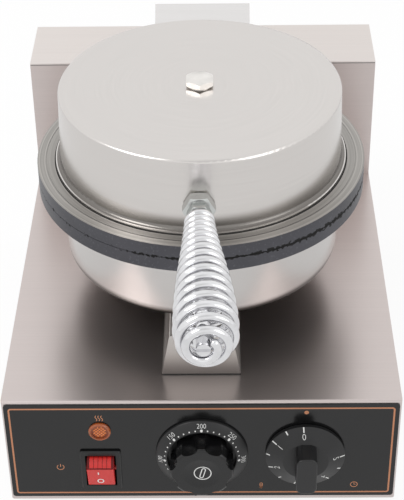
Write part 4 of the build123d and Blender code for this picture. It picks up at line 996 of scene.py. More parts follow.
class Solid:
    """A mesh under construction, in a place of its own."""

    def __init__(self, name: str, place: Matrix) -> None:
        """Starts an empty mesh.

        Args:
            name: the piece's name.
            place: where its own origin and axes lie in the iron's frame.
        """
        self.name = name
        self.place = place
        self.bm = bmesh.new()

    def level(self, outline: Iterable[Point], z: float) -> Loop:
        """Adds points at one height.

        Args:
            outline: the points.
            z: their height.

        Returns:
            The new points, in order.
        """
        return [self.bm.verts.new((x, y, z)) for x, y in outline]

    def skin(self, loops: Sequence[Loop], closed: bool = False, capped: bool = False) -> "Solid":
        """Joins loops of points with four-sided faces.

        Args:
            loops: the loops in order, each with the same number of points.
            closed: joins the last loop to the first.
            capped: closes the first and the last loop with a face each.

        Returns:
            This solid.
        """
        pairs = list(zip(loops, loops[1:]))
        if closed:
            pairs.append((loops[-1], loops[0]))
        for low, high in pairs:
            for i in range(len(low)):
                j = (i + 1) % len(low)
                self.bm.faces.new((low[i], low[j], high[j], high[i]))
        if capped:
            self.bm.faces.new(loops[0])
            self.bm.faces.new(loops[-1])
        return self

    def spin(self, profile: Sequence[Point], count: int, closed: bool = False) -> "Solid":
        """Turns a profile of radius and height about local Z.

        Args:
            profile: the points, each a radius and a height.
            count: steps round the turn.
            closed: joins the profile's last point to its first, as for a ring.

        Returns:
            This solid.
        """
        return self.skin([self.level(circle(radius, count), z) for radius, z in profile], closed)

    def band(self, outer: Sequence[Point], inner: Sequence[Point], thickness: float) -> "Solid":
        """Adds a flat band between two outlines with the same number of points.

        Args:
            outer: the outside outline.
            inner: the inside outline.
            thickness: how far it stands up.

        Returns:
            This solid.
        """
        corners = ((outer, 0.0), (outer, thickness), (inner, thickness), (inner, 0.0))
        return self.skin([self.level(outline, z) for outline, z in corners], closed=True)

    def disc(self, centre: Point, radius: float, thickness: float, count: int = 24) -> "Solid":
        """Adds a round dot that lies flat.

        Args:
            centre: its middle.
            radius: its radius.
            thickness: how far it stands up.
            count: points round it.

        Returns:
            This solid.
        """
        outline = [(centre[0] + x, centre[1] + y) for x, y in circle(radius, count)]
        return self.skin([self.level(outline, 0.0), self.level(outline, thickness)], capped=True)

    def stroke(self, line: Sequence[Point], width: float, thickness: float, closed: bool = False) -> "Solid":
        """Adds a flat line of one width along points.

        Args:
            line: the points along its middle.
            width: its width.
            thickness: how far it stands up.
            closed: joins the last point to the first.

        Returns:
            This solid.
        """
        last = len(line) - 1
        loops = []
        for i, (x, y) in enumerate(line):
            back = line[i - 1] if closed or i > 0 else line[0]
            ahead = line[(i + 1) % len(line)] if closed or i < last else line[last]
            way = Vector((ahead[0] - back[0], ahead[1] - back[1])).normalized() * (width / 2)
            left = (x - way.y, y + way.x)
            right = (x + way.y, y - way.x)
            corners = ((*left, 0.0), (*right, 0.0), (*right, thickness), (*left, thickness))
            loops.append([self.bm.verts.new(corner) for corner in corners])
        return self.skin(loops, closed, capped=not closed)

    def drape(self, height: Callable[[float], float]) -> "Solid":
        """Lifts every point by a height that depends on its distance from local Z.

        Args:
            height: the height at a distance.

        Returns:
            This solid.
        """
        for vert in self.bm.verts:
            vert.co.z += height(vert.co.xy.length)
        return self

    def add_mesh(self, mesh: bpy.types.Mesh, place: Matrix) -> "Solid":
        """Adds a finished mesh and removes it from the file.

        Args:
            mesh: what is added.
            place: where it goes, in this solid's own place.

        Returns:
            This solid.
        """
        before = len(self.bm.verts)
        self.bm.from_mesh(mesh)
        self.bm.verts.ensure_lookup_table()
        bmesh.ops.transform(self.bm, matrix=place, verts=self.bm.verts[before:])
        bpy.data.meshes.remove(mesh)
        return self

    def build(self, finish: Finish, smooth: float = 35.0) -> bpy.types.Object:
        """Finishes the mesh and dresses it.

        Args:
            finish: the piece's finish.
            smooth: edges sharper than this many degrees stay sharp.

        Returns:
            The piece.
        """
        bmesh.ops.remove_doubles(self.bm, verts=self.bm.verts, dist=WELD)
        bmesh.ops.transform(self.bm, matrix=self.place, verts=self.bm.verts)
        bmesh.ops.recalc_face_normals(self.bm, faces=self.bm.faces)
        mesh = bpy.data.meshes.new(self.name)
        self.bm.to_mesh(mesh)
        self.bm.free()
        mesh.shade_smooth()
        mesh.set_sharp_from_angle(angle=math.radians(smooth))
        mesh.materials.append(finish.material())
        piece = bpy.data.objects.new(self.name, mesh)
        bpy.context.scene.collection.objects.link(piece)
        return piece


@dataclass
class HexNut:
    """A hexagon nut or bolt head with both faces turned to a chamfer.

    A bore of 0 makes a bolt head, which keeps a pinhole that cannot be seen.
    """

    flats: float
    height: float
    bore: float = 0.0
    steps: int = 96
    turned_share: float = 0.96
    chamfer: float = math.radians(28)
    pinhole: float = 0.02 * MM

    def ring(self, solid: Solid, radii: Sequence[float], heights: Sequence[float]) -> Loop:
        """Adds points round the nut.

        Args:
            solid: what they are added to.
            radii: the distance of each from local Z.
            heights: the height of each.

        Returns:
            The new points.
        """
        verts = []
        for i, (radius, z) in enumerate(zip(radii, heights)):
            turn = FULL_TURN * i / self.steps + math.pi / 2
            verts.append(solid.bm.verts.new((radius * math.cos(turn), radius * math.sin(turn), z)))
        return verts

    def solid(self, name: str, place: Matrix) -> Solid:
        """Builds the nut.

        Args:
            name: the piece's name.
            place: its seat, with local Z out of it.

        Returns:
            The nut.
        """
        corners = []
        for i in range(self.steps):
            from_flat = (FULL_TURN * i / self.steps + math.pi / 6) % (math.pi / 3) - math.pi / 6
            corners.append(self.flats / 2 / math.cos(from_flat))
        face = self.flats / 2 * self.turned_share
        drops = [max(0.0, radius - face) * math.tan(self.chamfer) for radius in corners]
        low, high = [0.0] * self.steps, [self.height] * self.steps
        turned = [face] * self.steps
        hole = [max(self.bore, self.pinhole)] * self.steps
        solid = Solid(name, place)
        loops = [
            self.ring(solid, hole, low),
            self.ring(solid, turned, low),
            self.ring(solid, corners, drops),
            self.ring(solid, corners, [self.height - drop for drop in drops]),
            self.ring(solid, turned, high),
            self.ring(solid, hole, high),
        ]
        return solid.skin(loops, closed=self.bore > 0)


def round_edges(
    piece: bpy.types.Object, width: float, segments: int = 3, sharp: float = math.radians(40)
) -> None:
    """Rounds a piece's sharp edges.

    Args:
        piece: the piece.
        width: width of the rounding.
        segments: steps across the rounding.
        sharp: the angle from which an edge is sharp.
    """
    rounding = piece.modifiers.new("Rounded edges", "BEVEL")
    rounding.width = width
    rounding.segments = segments
    rounding.limit_method = "ANGLE"
    rounding.angle_limit = sharp
    rounding.harden_normals = True


def sign(text: str, height: float, thickness: float) -> bpy.types.Mesh:
    """Makes raised figures with the built-in face.

    Args:
        text: the figures.
        height: height of a figure.
        thickness: how far they stand up.

    Returns:
        A mesh with the figures' middle at its origin.
    """
    letters = bpy.data.curves.new("figures", "FONT")
    letters.body = text
    letters.size = height / FIGURE_SHARE
    letters.align_x = "CENTER"
    letters.extrude = thickness / 2
    letters.offset = -FIGURE_THIN * height
    letters.resolution_u = 4
    holder = bpy.data.objects.new("figures", letters)
    bpy.context.scene.collection.objects.link(holder)
    bpy.context.view_layer.update()
    mesh = bpy.data.meshes.new_from_object(holder.evaluated_get(bpy.context.evaluated_depsgraph_get()))
    bpy.data.objects.remove(holder)
    bpy.data.curves.remove(letters)
    mesh.transform(Matrix.Translation((0, -height / 2, 0)))
    return mesh


def settle(piece: bpy.types.Object, body: str, slot: str, *nodes: str) -> None:
    """Puts a new piece on its body.

    Args:
        piece: the piece.
        body: the body that carries it.
        slot: the record's material slot; not used.
        nodes: CAD nodes that it stands for.
    """
    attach(piece, body)
    if nodes:
        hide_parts(*nodes)
    log.info("made %s on %s", piece.name, body)


def middle_of(node: str) -> Vector:
    """Gives the middle of a CAD node's box.

    Args:
        node: the node's name.

    Returns:
        The middle.
    """
    low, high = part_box(node)
    return (low + high) / 2


def panel_place(node: str, out: float = 0.0, aside: float = 0.0, above: float = 0.0) -> Matrix:
    """Gives a place on the panel's face, before the middle of a CAD node.

    Args:
        node: the node's name.
        out: how far the place lies out of the face.
        aside: how far it lies to the right of the middle.
        above: how far it lies above the middle.

    Returns:
        The place's matrix.
    """
    middle = middle_of(node)
    return front_place(middle.x + aside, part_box("control_fascia")[0].y - out, middle.z + above)


def dress(finish: Finish, *nodes: str) -> None:
    """Gives CAD nodes a finish.

    Args:
        finish: the finish.
        nodes: the nodes' names.
    """
    for name in nodes:
        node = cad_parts[name]
        if node.material_slots:
            for holder in node.material_slots:
                holder.material = finish.material()
        else:
            node.data.materials.append(finish.material())
        log.info("dressed %s", name)


def soften(width: float, *nodes: str) -> None:
    """Rounds the sharp edges of CAD nodes.

    Args:
        width: width of the rounding.
        nodes: the nodes' names.
    """
    for name in nodes:
        round_edges(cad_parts[name], width)


# ---- Sub-assemblies ----------------------------------------------------------------------------


@dataclass
class BaseBox:
    """The folded base with its tower, pedestal, feet and screws, and strips of painted shade where they meet.
    """

    finishes: Finishes
    foot_half: float = 25.1 * MM
    gap_height: float = 0.9 * MM
    gap_depth: float = 0.1 * MM
    seam_start: float = 40.5 * MM
    seam_inset: float = 0.3 * MM
    seam_height: float = 0.6 * MM
    seam_depth: float = 0.02 * MM

    def gap(self) -> Solid:
        """Builds a dark strip of painted shade in the gap under the pedestal's front.

        Returns:
            The gap.
        """
        foot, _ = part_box("pedestal")
        gap = Solid("pedestal_gap", front_place(0, foot.y + self.gap_depth, foot.z))
        middle = self.gap_height / 2
        ends = [(-self.foot_half, middle), (self.foot_half, middle)]
        return gap.stroke(ends, self.gap_height, 2 * self.gap_depth)

    def seam(self) -> Solid:
        """Builds a dark strip of painted shade along the seam under the tower cover, on each side of the
        pots.

        Returns:
            The seam.
        """
        low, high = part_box("tower_cover")
        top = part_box("base_shell")[1].z
        seam = Solid("cover_seam", front_place(0, low.y + self.seam_depth, top))
        for side in (-1, 1):
            ends = [(side * self.seam_start, 0), (side * (high.x - self.seam_inset), 0)]
            seam.stroke(ends, self.seam_height, 2 * self.seam_depth)
        return seam

    def make(self) -> None:
        """Dresses the base and adds its gap and its seam."""
        dress(self.finishes.shell, "base_shell")
        dress(self.finishes.cover, "tower_cover")
        dress(self.finishes.plain, "bottom_plate", "hinge_bracket")
        dress(self.finishes.pedestal, "pedestal")
        # painted shade: the gap strip takes the black rubber finish
        settle(self.gap().build(self.finishes.rubber), "base", "rubber")
        # painted shade: a dark strip along the cover's seam
        settle(self.seam().build(self.finishes.cover_seam_shade), "base", "plain_steel")
        dress(self.finishes.rubber, "rubber_feet")
        dress(
            self.finishes.zinc,
            "foot_screws",
            "foot_nuts",
            "cover_screws",
            "bottom_screws",
            "pedestal_screws",
            "bracket_bolts",
            "hinge_pin",
            "hinge_clips",
        )
        dress(self.finishes.black, "cable_gland", "gland_nut")
        dress(self.finishes.white_plastic, "terminal_block")


@dataclass
class Pots:
    """The two pots with their baking plates and heating stacks."""

    finishes: Finishes
    bolt_flats: float = 17 * MM
    bolt_shank: float = 5 * MM
    washer_face: float = 0.7 * MM
    washer_share: float = 0.44
    round_steps: int = 64
    arm_edge: float = 0.4 * MM

    def bolt(self) -> Solid:
        """Builds the centre bolt: a turned hexagon on its washer face, with its shank.

        Returns:
            The bolt.
        """
        low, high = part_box("centre_bolt")
        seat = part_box("upper_pot")[1].z
        middle = (low + high) / 2
        rise = high.z - seat
        place = Matrix.Translation((middle.x, middle.y, seat + self.washer_face))
        place = place @ Matrix.Rotation(math.pi / 6, 4, "Z")
        head = HexNut(self.bolt_flats, rise - self.washer_face).solid("centre_bolt_turned", place)
        face = self.washer_share * self.bolt_flats
        end = low.z - seat - self.washer_face
        profile = [
            (0, end),
            (self.bolt_shank, end),
            (self.bolt_shank, -self.washer_face),
            (face, -self.washer_face),
            (face, 0),
            (0, 0),
        ]
        return head.spin(profile, self.round_steps)

    def make(self) -> None:
        """Builds the centre bolt and dresses the pots."""
        settle(self.bolt().build(self.finishes.bright, smooth=30), "lid", "bright_steel", "centre_bolt")
        dress(self.finishes.upper_pot, "upper_pot")
        dress(self.finishes.lower_pot, "lower_pot")
        dress(self.finishes.upper_plate, "upper_baking_plate")
        dress(self.finishes.lower_plate, "lower_baking_plate")
        dress(self.finishes.heater, "lower_element", "upper_element")
        dress(self.finishes.plain, "lower_clamp_plate", "upper_clamp_plate")
        dress(self.finishes.fibre, "lower_insulation", "upper_insulation")
        dress(self.finishes.zinc, "lower_centre_bolt", "arm_bolts")
        dress(self.finishes.arm, "lid_arm")
        soften(self.arm_edge, "lid_arm")


@dataclass
class WireRing:
    """One ring of points round the wire: its middle, its axes and its share of the wire's radius."""

    middle: Vector
    ahead: Vector
    outward: Vector
    side: Vector
    share: float = 1.0


@dataclass
class Handle:
    """The coil-wire grip on its rod, with its nuts.

    The coil swells from coil_start to coil_widest and closes in to coil_end. Where it is wide it lies
    aside of the rod.
    """

    finishes: Finishes
    rod_length: float = 135.6 * MM
    rod_radius: float = 4 * MM
    lean: float = math.radians(1.6)
    wire_radius: float = 2.5 * MM
    coil_start: float = 16.3 * MM
    coil_widest: float = 120.5 * MM
    coil_end: float = 133.9 * MM
    start_pitch: float = 5.1 * MM
    widest_pitch: float = 9.2 * MM
    end_pitch: float = 5.3 * MM
    start_radius: float = 6.9 * MM
    full_radius: float = 15.7 * MM
    end_radius: float = 6.7 * MM
    aside: float = 1.6 * MM
    sharpness: float = 0.85
    first_turn: float = math.radians(228)
    steps: int = 40
    sides: int = 20
    tip_steps: int = 4
    profile_steps: int = 4000
    nut_gap: float = 0.6 * MM
    jam_flats: float = 17.5 * MM
    jam_height: float = 7.5 * MM
    collar_flats: float = 13 * MM
    collar_height: float = 5.5 * MM

    def profile(self, share: float) -> tuple[float, float, float]:
        """Gives the coil's reach from the pot's wall, its radius and its pitch.

        Args:
            share: 0 to 1 along the swell, then 1 to 2 along the closing curve.

        Returns:
            The reach, the radius and the pitch.
        """
        if share <= 1:
            reach = self.coil_start + (self.coil_widest - self.coil_start) * share
            ease = share**self.sharpness
            swell = ease * ease * (3 - 2 * ease)
            radius = self.start_radius + (self.full_radius - self.start_radius) * swell
            pitch = self.start_pitch + (self.widest_pitch - self.start_pitch) * math.sin(share * math.pi / 2)
            return reach, radius, pitch
        turn = (share - 1) * math.pi / 2
        reach = self.coil_widest + (self.coil_end - self.coil_widest) * math.sin(turn)
        radius = self.end_radius + (self.full_radius - self.end_radius) * math.cos(turn)
        pitch = self.end_pitch + (self.widest_pitch - self.end_pitch) * math.cos(turn) ** 2
        return reach, radius, pitch

    def wire_line(self) -> list[Vector]:
        """Gives points along the wire in local axes: Z away from the pot, X right and Y up.

        Returns:
            The points, from the pot to the wire's end.
        """
        points = []
        turns = 0.0
        last = self.profile(0)
        for step in range(self.profile_steps + 1):
            here = self.profile(2 * step / self.profile_steps)
            turns += math.hypot(here[0] - last[0], here[1] - last[1]) / here[2]
            last = here
            if turns * self.steps >= len(points):
                turn = self.first_turn + FULL_TURN * len(points) / self.steps
                hang = (here[1] - self.start_radius) / (self.full_radius - self.start_radius)
                across = here[1] * math.cos(turn) + self.aside * hang
                points.append(Vector((across, here[1] * math.sin(turn), here[0])))
        return points

    def coil(self, wall: Matrix) -> bpy.types.Object:
        """Builds the wire.

        Args:
            wall: place of the pot's wall at the rod.

        Returns:
            The wire's piece.
        """
        solid = Solid("handle_wire", wall)
        line = self.wire_line()
        last = len(line) - 1
        rings = []
        for i, point in enumerate(line):
            ahead = (line[min(i + 1, last)] - line[max(i - 1, 0)]).normalized()
            outward = Vector((point.x, point.y, 0)).normalized()
            side = ahead.cross(outward).normalized()
            outward = side.cross(ahead).normalized()
            rings.append(WireRing(point, ahead, outward, side))
        loops = []
        for ring in self.tip(rings[0], -1) + rings + list(reversed(self.tip(rings[-1], 1))):
            outline = circle(self.wire_radius * ring.share, self.sides)
            points = [ring.middle + ring.outward * x + ring.side * y for x, y in outline]
            loops.append([solid.bm.verts.new(point) for point in points])
        return solid.skin(loops, capped=True).build(self.finishes.chrome, smooth=60)

    def tip(self, ring: WireRing, way: int) -> list[WireRing]:
        """Gives the narrowing rings of the wire's round tip.

        Args:
            ring: the last full ring.
            way: 1 for a tip ahead of it, -1 for one behind it.

        Returns:
            The rings, the outermost first.
        """
        rings = []
        for i in range(self.tip_steps, 0, -1):
            angle = math.pi / 2 * i / self.tip_steps
            middle = ring.middle + ring.ahead * (way * self.wire_radius * math.sin(angle))
            rings.append(WireRing(middle, ring.ahead, ring.outward, ring.side, math.cos(angle)))
        return rings

    def make(self) -> None:
        """Builds the wire and the nuts, and dresses the rod."""
        lower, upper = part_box("handle_rod")
        reach = self.rod_length * math.cos(self.lean) + self.rod_radius * math.sin(self.lean)
        wall = front_place(0, lower.y + reach, (lower.z + upper.z) / 2)
        wall = wall @ Matrix.Rotation(self.lean, 4, "Y")
        settle(self.coil(wall), "lid", "chrome_wire", "handle_coil")
        seat = self.nut_gap
        for node, flats, height in (
            ("handle_jam_nut", self.jam_flats, self.jam_height),
            ("handle_collar", self.collar_flats, self.collar_height),
        ):
            place = wall @ Matrix.Translation((0, 0, seat))
            piece = HexNut(flats, height, self.rod_radius).solid(node + "_turned", place)
            settle(piece.build(self.finishes.nickel, smooth=30), "lid", "bright_steel", node)
            seat += height
        dress(self.finishes.chrome, "handle_rod", "handle_inner_nut", "handle_end_nut")


@dataclass
class Panel:
    """The front panel with its copper line, its index dot and its small signs.

    From wave_gap to hour_hand, sizes are shares of sign_radius, but power_gap is in degrees.
    """

    finishes: Finishes
    line_inset: float = 2.7 * MM
    line_width: float = 1.1 * MM
    line_corner: float = 2 * MM
    corner_steps: int = 8
    print_height: float = 0.06 * MM
    dot_radius: float = 1.45 * MM
    dot_above: float = 34.8 * MM
    dot_steps: int = 40
    sign_radius: float = 2.2 * MM
    sign_line: float = 0.5 * MM
    heat_above: float = 10.7 * MM
    power_aside: float = -26.2 * MM
    power_above: float = 1.5 * MM
    thermometer_aside: float = 38 * MM
    clock_aside: float = 32.3 * MM
    sign_below: float = 27.8 * MM
    wave_gap: float = 0.8
    wave_swing: float = 0.25
    wave_steps: int = 16
    power_gap: float = 40.0
    power_steps: int = 28
    power_stem: tuple[float, float] = (0.1, 1.2)
    glass_width: float = 0.7
    bulb_below: float = 0.7
    bulb: float = 0.5
    liquid_top: float = 0.3
    clock_steps: int = 32
    minute_hand: float = 0.7
    hour_hand: float = 0.5

    def line(self, place: Matrix, width: float, height: float) -> Solid:
        """Builds the line round the panel.

        Args:
            place: middle of the panel's face.
            width: width of the line's outside.
            height: height of the line's outside.

        Returns:
            The line.
        """
        step = 2 * self.line_width
        corner = self.line_corner - self.line_width
        outer = rounded_box(width, height, self.line_corner, self.corner_steps)
        inner = rounded_box(width - step, height - step, corner, self.corner_steps)
        return Solid("panel_line", place).band(outer, inner, self.print_height)

    def stroke(self, solid: Solid, line: Sequence[Point], closed: bool = False) -> None:
        """Adds a line to a sign.

        Args:
            solid: the sign.
            line: points along it, as shares of the signs' radius.
            closed: joins the last point to the first.
        """
        points = [(self.sign_radius * x, self.sign_radius * y) for x, y in line]
        solid.stroke(points, self.sign_line, self.print_height, closed)

    def heat(self, solid: Solid) -> None:
        """Draws three rising waves.

        Args:
            solid: the sign that is drawn.
        """
        for column in (-1, 0, 1):
            wave = []
            for i in range(self.wave_steps + 1):
                share = i / self.wave_steps
                swing = self.wave_swing * math.sin(FULL_TURN * share)
                wave.append((column * self.wave_gap + swing, 2 * share - 1))
            self.stroke(solid, wave)

    def power(self, solid: Solid) -> None:
        """Draws an open ring and a stem.

        Args:
            solid: the sign that is drawn.
        """
        arc = 360 - 2 * self.power_gap
        angles = [self.power_gap + arc * i / self.power_steps for i in range(self.power_steps + 1)]
        self.stroke(solid, [polar(1.0, angle) for angle in angles])
        self.stroke(solid, [(0, height) for height in self.power_stem])

    def thermometer(self, solid: Solid) -> None:
        """Draws a glass, a bulb and the liquid.

        Args:
            solid: the sign that is drawn.
        """
        self.stroke(solid, capsule(2.0, self.glass_width, 0), closed=True)
        radius = self.sign_radius
        solid.disc((0, -self.bulb_below * radius), self.bulb * radius, self.print_height)
        self.stroke(solid, [(0, -self.bulb_below), (0, self.liquid_top)])

    def clock(self, solid: Solid) -> None:
        """Draws a ring and two hands.

        Args:
            solid: the sign that is drawn.
        """
        self.stroke(solid, circle(1.0, self.clock_steps), closed=True)
        self.stroke(solid, [(0, self.minute_hand), (0, 0), (self.hour_hand, 0)])

    def signs(self) -> None:
        """Prints a small picture beside each control."""
        below = -self.sign_below
        for name, control, aside, above, draw in (
            ("heat_sign", "indicator_body", 0, self.heat_above, self.heat),
            ("power_sign", "switch_housing", self.power_aside, self.power_above, self.power),
            ("thermometer_sign", "thermostat_knob", self.thermometer_aside, below, self.thermometer),
            ("clock_sign", "timer_knob", self.clock_aside, below, self.clock),
        ):
            solid = Solid(name, panel_place(control, aside=aside, above=above))
            draw(solid)
            settle(solid.build(self.finishes.copper_print), "base", "panel_black")

    def make(self) -> None:
        """Dresses the panel and prints on it."""
        dress(self.finishes.panel, "control_fascia")
        low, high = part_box("control_fascia")
        margin = 2 * self.line_inset
        place = panel_place("control_fascia")
        line = self.line(place, high.x - low.x - margin, high.z - low.z - margin)
        settle(line.build(self.finishes.copper_print), "base", "panel_black")
        dot = Solid("timer_index", panel_place("timer_knob", above=self.dot_above))
        dot.disc((0, 0), self.dot_radius, self.print_height, self.dot_steps)
        settle(dot.build(self.finishes.copper_print), "base", "panel_black")
        self.signs()


@dataclass
class Lamp:
    """The indicator lamp: an amber ring round a lens cut in small pyramids."""

    finishes: Finishes
    seat: float = 0.8 * MM
    lens_radius: float = 5.5 * MM
    lip_width: float = 0.5 * MM
    lip_rise: float = 0.7 * MM
    round_steps: int = 64
    pyramid: float = 1.6 * MM
    pyramid_share: float = 0.74
    pyramid_rise: float = 0.6 * MM
    field_rise: float = 0.1 * MM

    def lens(self, place: Matrix) -> Solid:
        """Builds the lens: a lip round a flat field.

        Args:
            place: middle of the lens's back, with local Z out of the panel.

        Returns:
            The lens.
        """
        inner = self.lens_radius - self.lip_width
        profile = [
            (0, 0),
            (self.lens_radius, 0),
            (self.lens_radius, self.lip_rise),
            (inner, self.lip_rise),
            (inner, self.field_rise),
            (0, self.field_rise),
        ]
        return Solid("lamp_lens", place).spin(profile, self.round_steps)

    def facets(self, place: Matrix) -> Solid:
        """Builds the pyramids on the lens's field, which stand on their corners.

        Args:
            place: middle of the lens's back, with local Z out of the panel.

        Returns:
            The pyramids.
        """
        solid = Solid("lamp_facets", place)
        inner = self.lens_radius - self.lip_width
        turn = Matrix.Rotation(math.pi / 4, 2)
        reach = math.ceil(inner / self.pyramid)
        half = self.pyramid_share * self.pyramid / 2
        square = [Vector(corner) for corner in ((half, half), (-half, half), (-half, -half), (half, -half))]
        for column in range(-reach, reach + 1):
            for row in range(-reach, reach + 1):
                middle = Vector((column * self.pyramid, row * self.pyramid))
                corners = [middle + corner for corner in square]
                if max(corner.length for corner in corners) > inner:
                    continue
                foot = [solid.bm.verts.new((*(turn @ corner), self.field_rise)) for corner in corners]
                tip = solid.bm.verts.new((*(turn @ middle), self.field_rise + self.pyramid_rise))
                for i in range(4):
                    solid.bm.faces.new((foot[i], foot[(i + 1) % 4], tip))
                solid.bm.faces.new(tuple(reversed(foot)))
        return solid

    def make(self) -> None:
        """Builds the lens and dresses the lamp."""
        dress(self.finishes.amber, "indicator_body")
        dress(self.finishes.zinc, "indicator_nut")
        place = panel_place("indicator_body", self.seat)
        settle(self.lens(place).build(self.finishes.lens), "base", "amber_lens", "indicator_lens")
        # painted highlight: the pyramids are lighter than the lens
        settle(self.facets(place).build(self.finishes.facets, smooth=10), "base", "amber_lens")


@dataclass
class RockerSwitch:
    """The rocker switch in its bezel, with ribs and marks on the rocker.

    The angles rib_from, rib_to, fold and fold_to are degrees from the rocker's face round its end.
    """

    finishes: Finishes
    tilt: float = math.radians(15)
    face: float = 7.4 * MM
    swing: float = 11.8 * MM
    width: float = 17 * MM
    pivot_depth: float = 1.2 * MM
    ribs: int = 5
    rib_field: float = 14 * MM
    rib_width: float = 2.5 * MM
    rib_rise: float = 0.3 * MM
    rib_steps: int = 12
    rib_root: float = 0.1 * MM
    rib_fade: float = 0.25
    rib_from: float = 57.0
    rib_to: float = 95.0
    fold: float = 51.8
    fold_to: float = 56.0
    cheek_width: float = 1.5 * MM
    shade_rise: float = 0.05 * MM
    rocker_edge: float = 0.4 * MM
    mark_height: float = 4.9 * MM
    mark_line: float = 0.7 * MM
    mark_rise: float = 0.05 * MM
    on_height: float = 2.8 * MM
    on_aside: float = -1.4 * MM
    off_width: float = 4.4 * MM
    off_aside: float = -0.4 * MM
    off_steps: int = 36

    def rib(self, solid: Solid, x: float, width: float, rise: float, span: tuple[float, float]) -> None:
        """Adds one rib along the rocker's round end.

        Args:
            solid: what it is added to, with local X along the pivot and Z out of the face.
            x: place along the pivot.
            width: the rib's width.
            rise: its height above the round end.
            span: first and last angle from the rocker's face, in degrees.
        """
        loops = []
        under = self.swing - self.rib_root
        for i in range(self.rib_steps + 1):
            angle = math.radians(span[0] + (span[1] - span[0]) * i / self.rib_steps)
            from_end = min(i, self.rib_steps - i) / self.rib_steps
            over = self.swing + rise * math.sin(math.pi / 2 * min(1.0, from_end / self.rib_fade))
            loop = []
            for side, radius in ((-1, under), (1, under), (1, over), (-1, over)):
                place = (x + side * width / 2, radius * math.sin(angle), radius * math.cos(angle))
                loop.append(solid.bm.verts.new(place))
            loops.append(loop)
        solid.skin(loops, capped=True)

    def ribs_on(self, tilted: Matrix) -> Solid:
        """Builds the ribs on the rocker's upper end.

        Args:
            tilted: the pivot's place, turned as the rocker lies.

        Returns:
            The ribs.
        """
        solid = Solid("rocker_ribs", tilted)
        pitch = self.rib_field / self.ribs
        for i in range(self.ribs):
            x = pitch * (i - (self.ribs - 1) / 2)
            self.rib(solid, x, self.rib_width, self.rib_rise, (self.rib_from, self.rib_to))
        return solid

    def shade_strips(self, tilted: Matrix) -> Solid:
        """Builds strips of painted shade between the ribs, beside them and where the face folds.

        Args:
            tilted: the pivot's place, turned as the rocker lies.

        Returns:
            The strips.
        """
        solid = Solid("rocker_shade_strips", tilted)
        pitch = self.rib_field / self.ribs
        span = (self.fold_to, self.rib_to)
        for i in range(self.ribs - 1):
            x = pitch * (i + 1 - self.ribs / 2)
            self.rib(solid, x, pitch - self.rib_width, self.shade_rise, span)
        self.rib(solid, 0, self.width, self.shade_rise, (self.fold, self.fold_to))
        for side in (-1, 1):
            x = side * (self.width - self.cheek_width) / 2
            self.rib(solid, x, self.cheek_width, self.shade_rise, span)
        return solid

    def marks(self, tilted: Matrix) -> Solid:
        """Builds the on and off marks: a bar on the upper half of the face and a ring on the lower.

        Args:
            tilted: the pivot's place, turned as the rocker lies.

        Returns:
            The marks.
        """
        solid = Solid("rocker_marks", tilted @ Matrix.Translation((0, 0, self.face)))
        half = math.sqrt(self.swing**2 - self.face**2)
        line, rise = self.mark_line, self.mark_rise
        top = half / 2 + self.on_height / 2
        solid.stroke([(self.on_aside, top), (self.on_aside, top - self.on_height)], line, rise)
        across = (self.off_width - line) / 2
        up = (self.mark_height - line) / 2
        ring = circle(1.0, self.off_steps)
        loop = [(self.off_aside + x * across, -half / 2 + y * up) for x, y in ring]
        return solid.stroke(loop, line, rise, closed=True)

    def make(self) -> None:
        """Builds the ribs and the marks, and dresses the switch."""
        dress(self.finishes.gloss_black, "switch_housing")
        dress(self.finishes.red, "switch_rocker")
        dress(self.finishes.brass, "switch_terminals")
        soften(self.rocker_edge, "switch_rocker")
        pivot = panel_place("switch_housing", -self.pivot_depth)
        tilted = pivot @ Matrix.Rotation(self.tilt, 4, "X")
        settle(self.ribs_on(tilted).build(self.finishes.red), "rocker", "red_plastic")
        # painted shade: dark red strips between and beside the ribs and at the fold
        settle(self.shade_strips(tilted).build(self.finishes.red_shade), "rocker", "red_plastic")
        settle(self.marks(tilted).build(self.finishes.white_print), "rocker", "red_plastic")


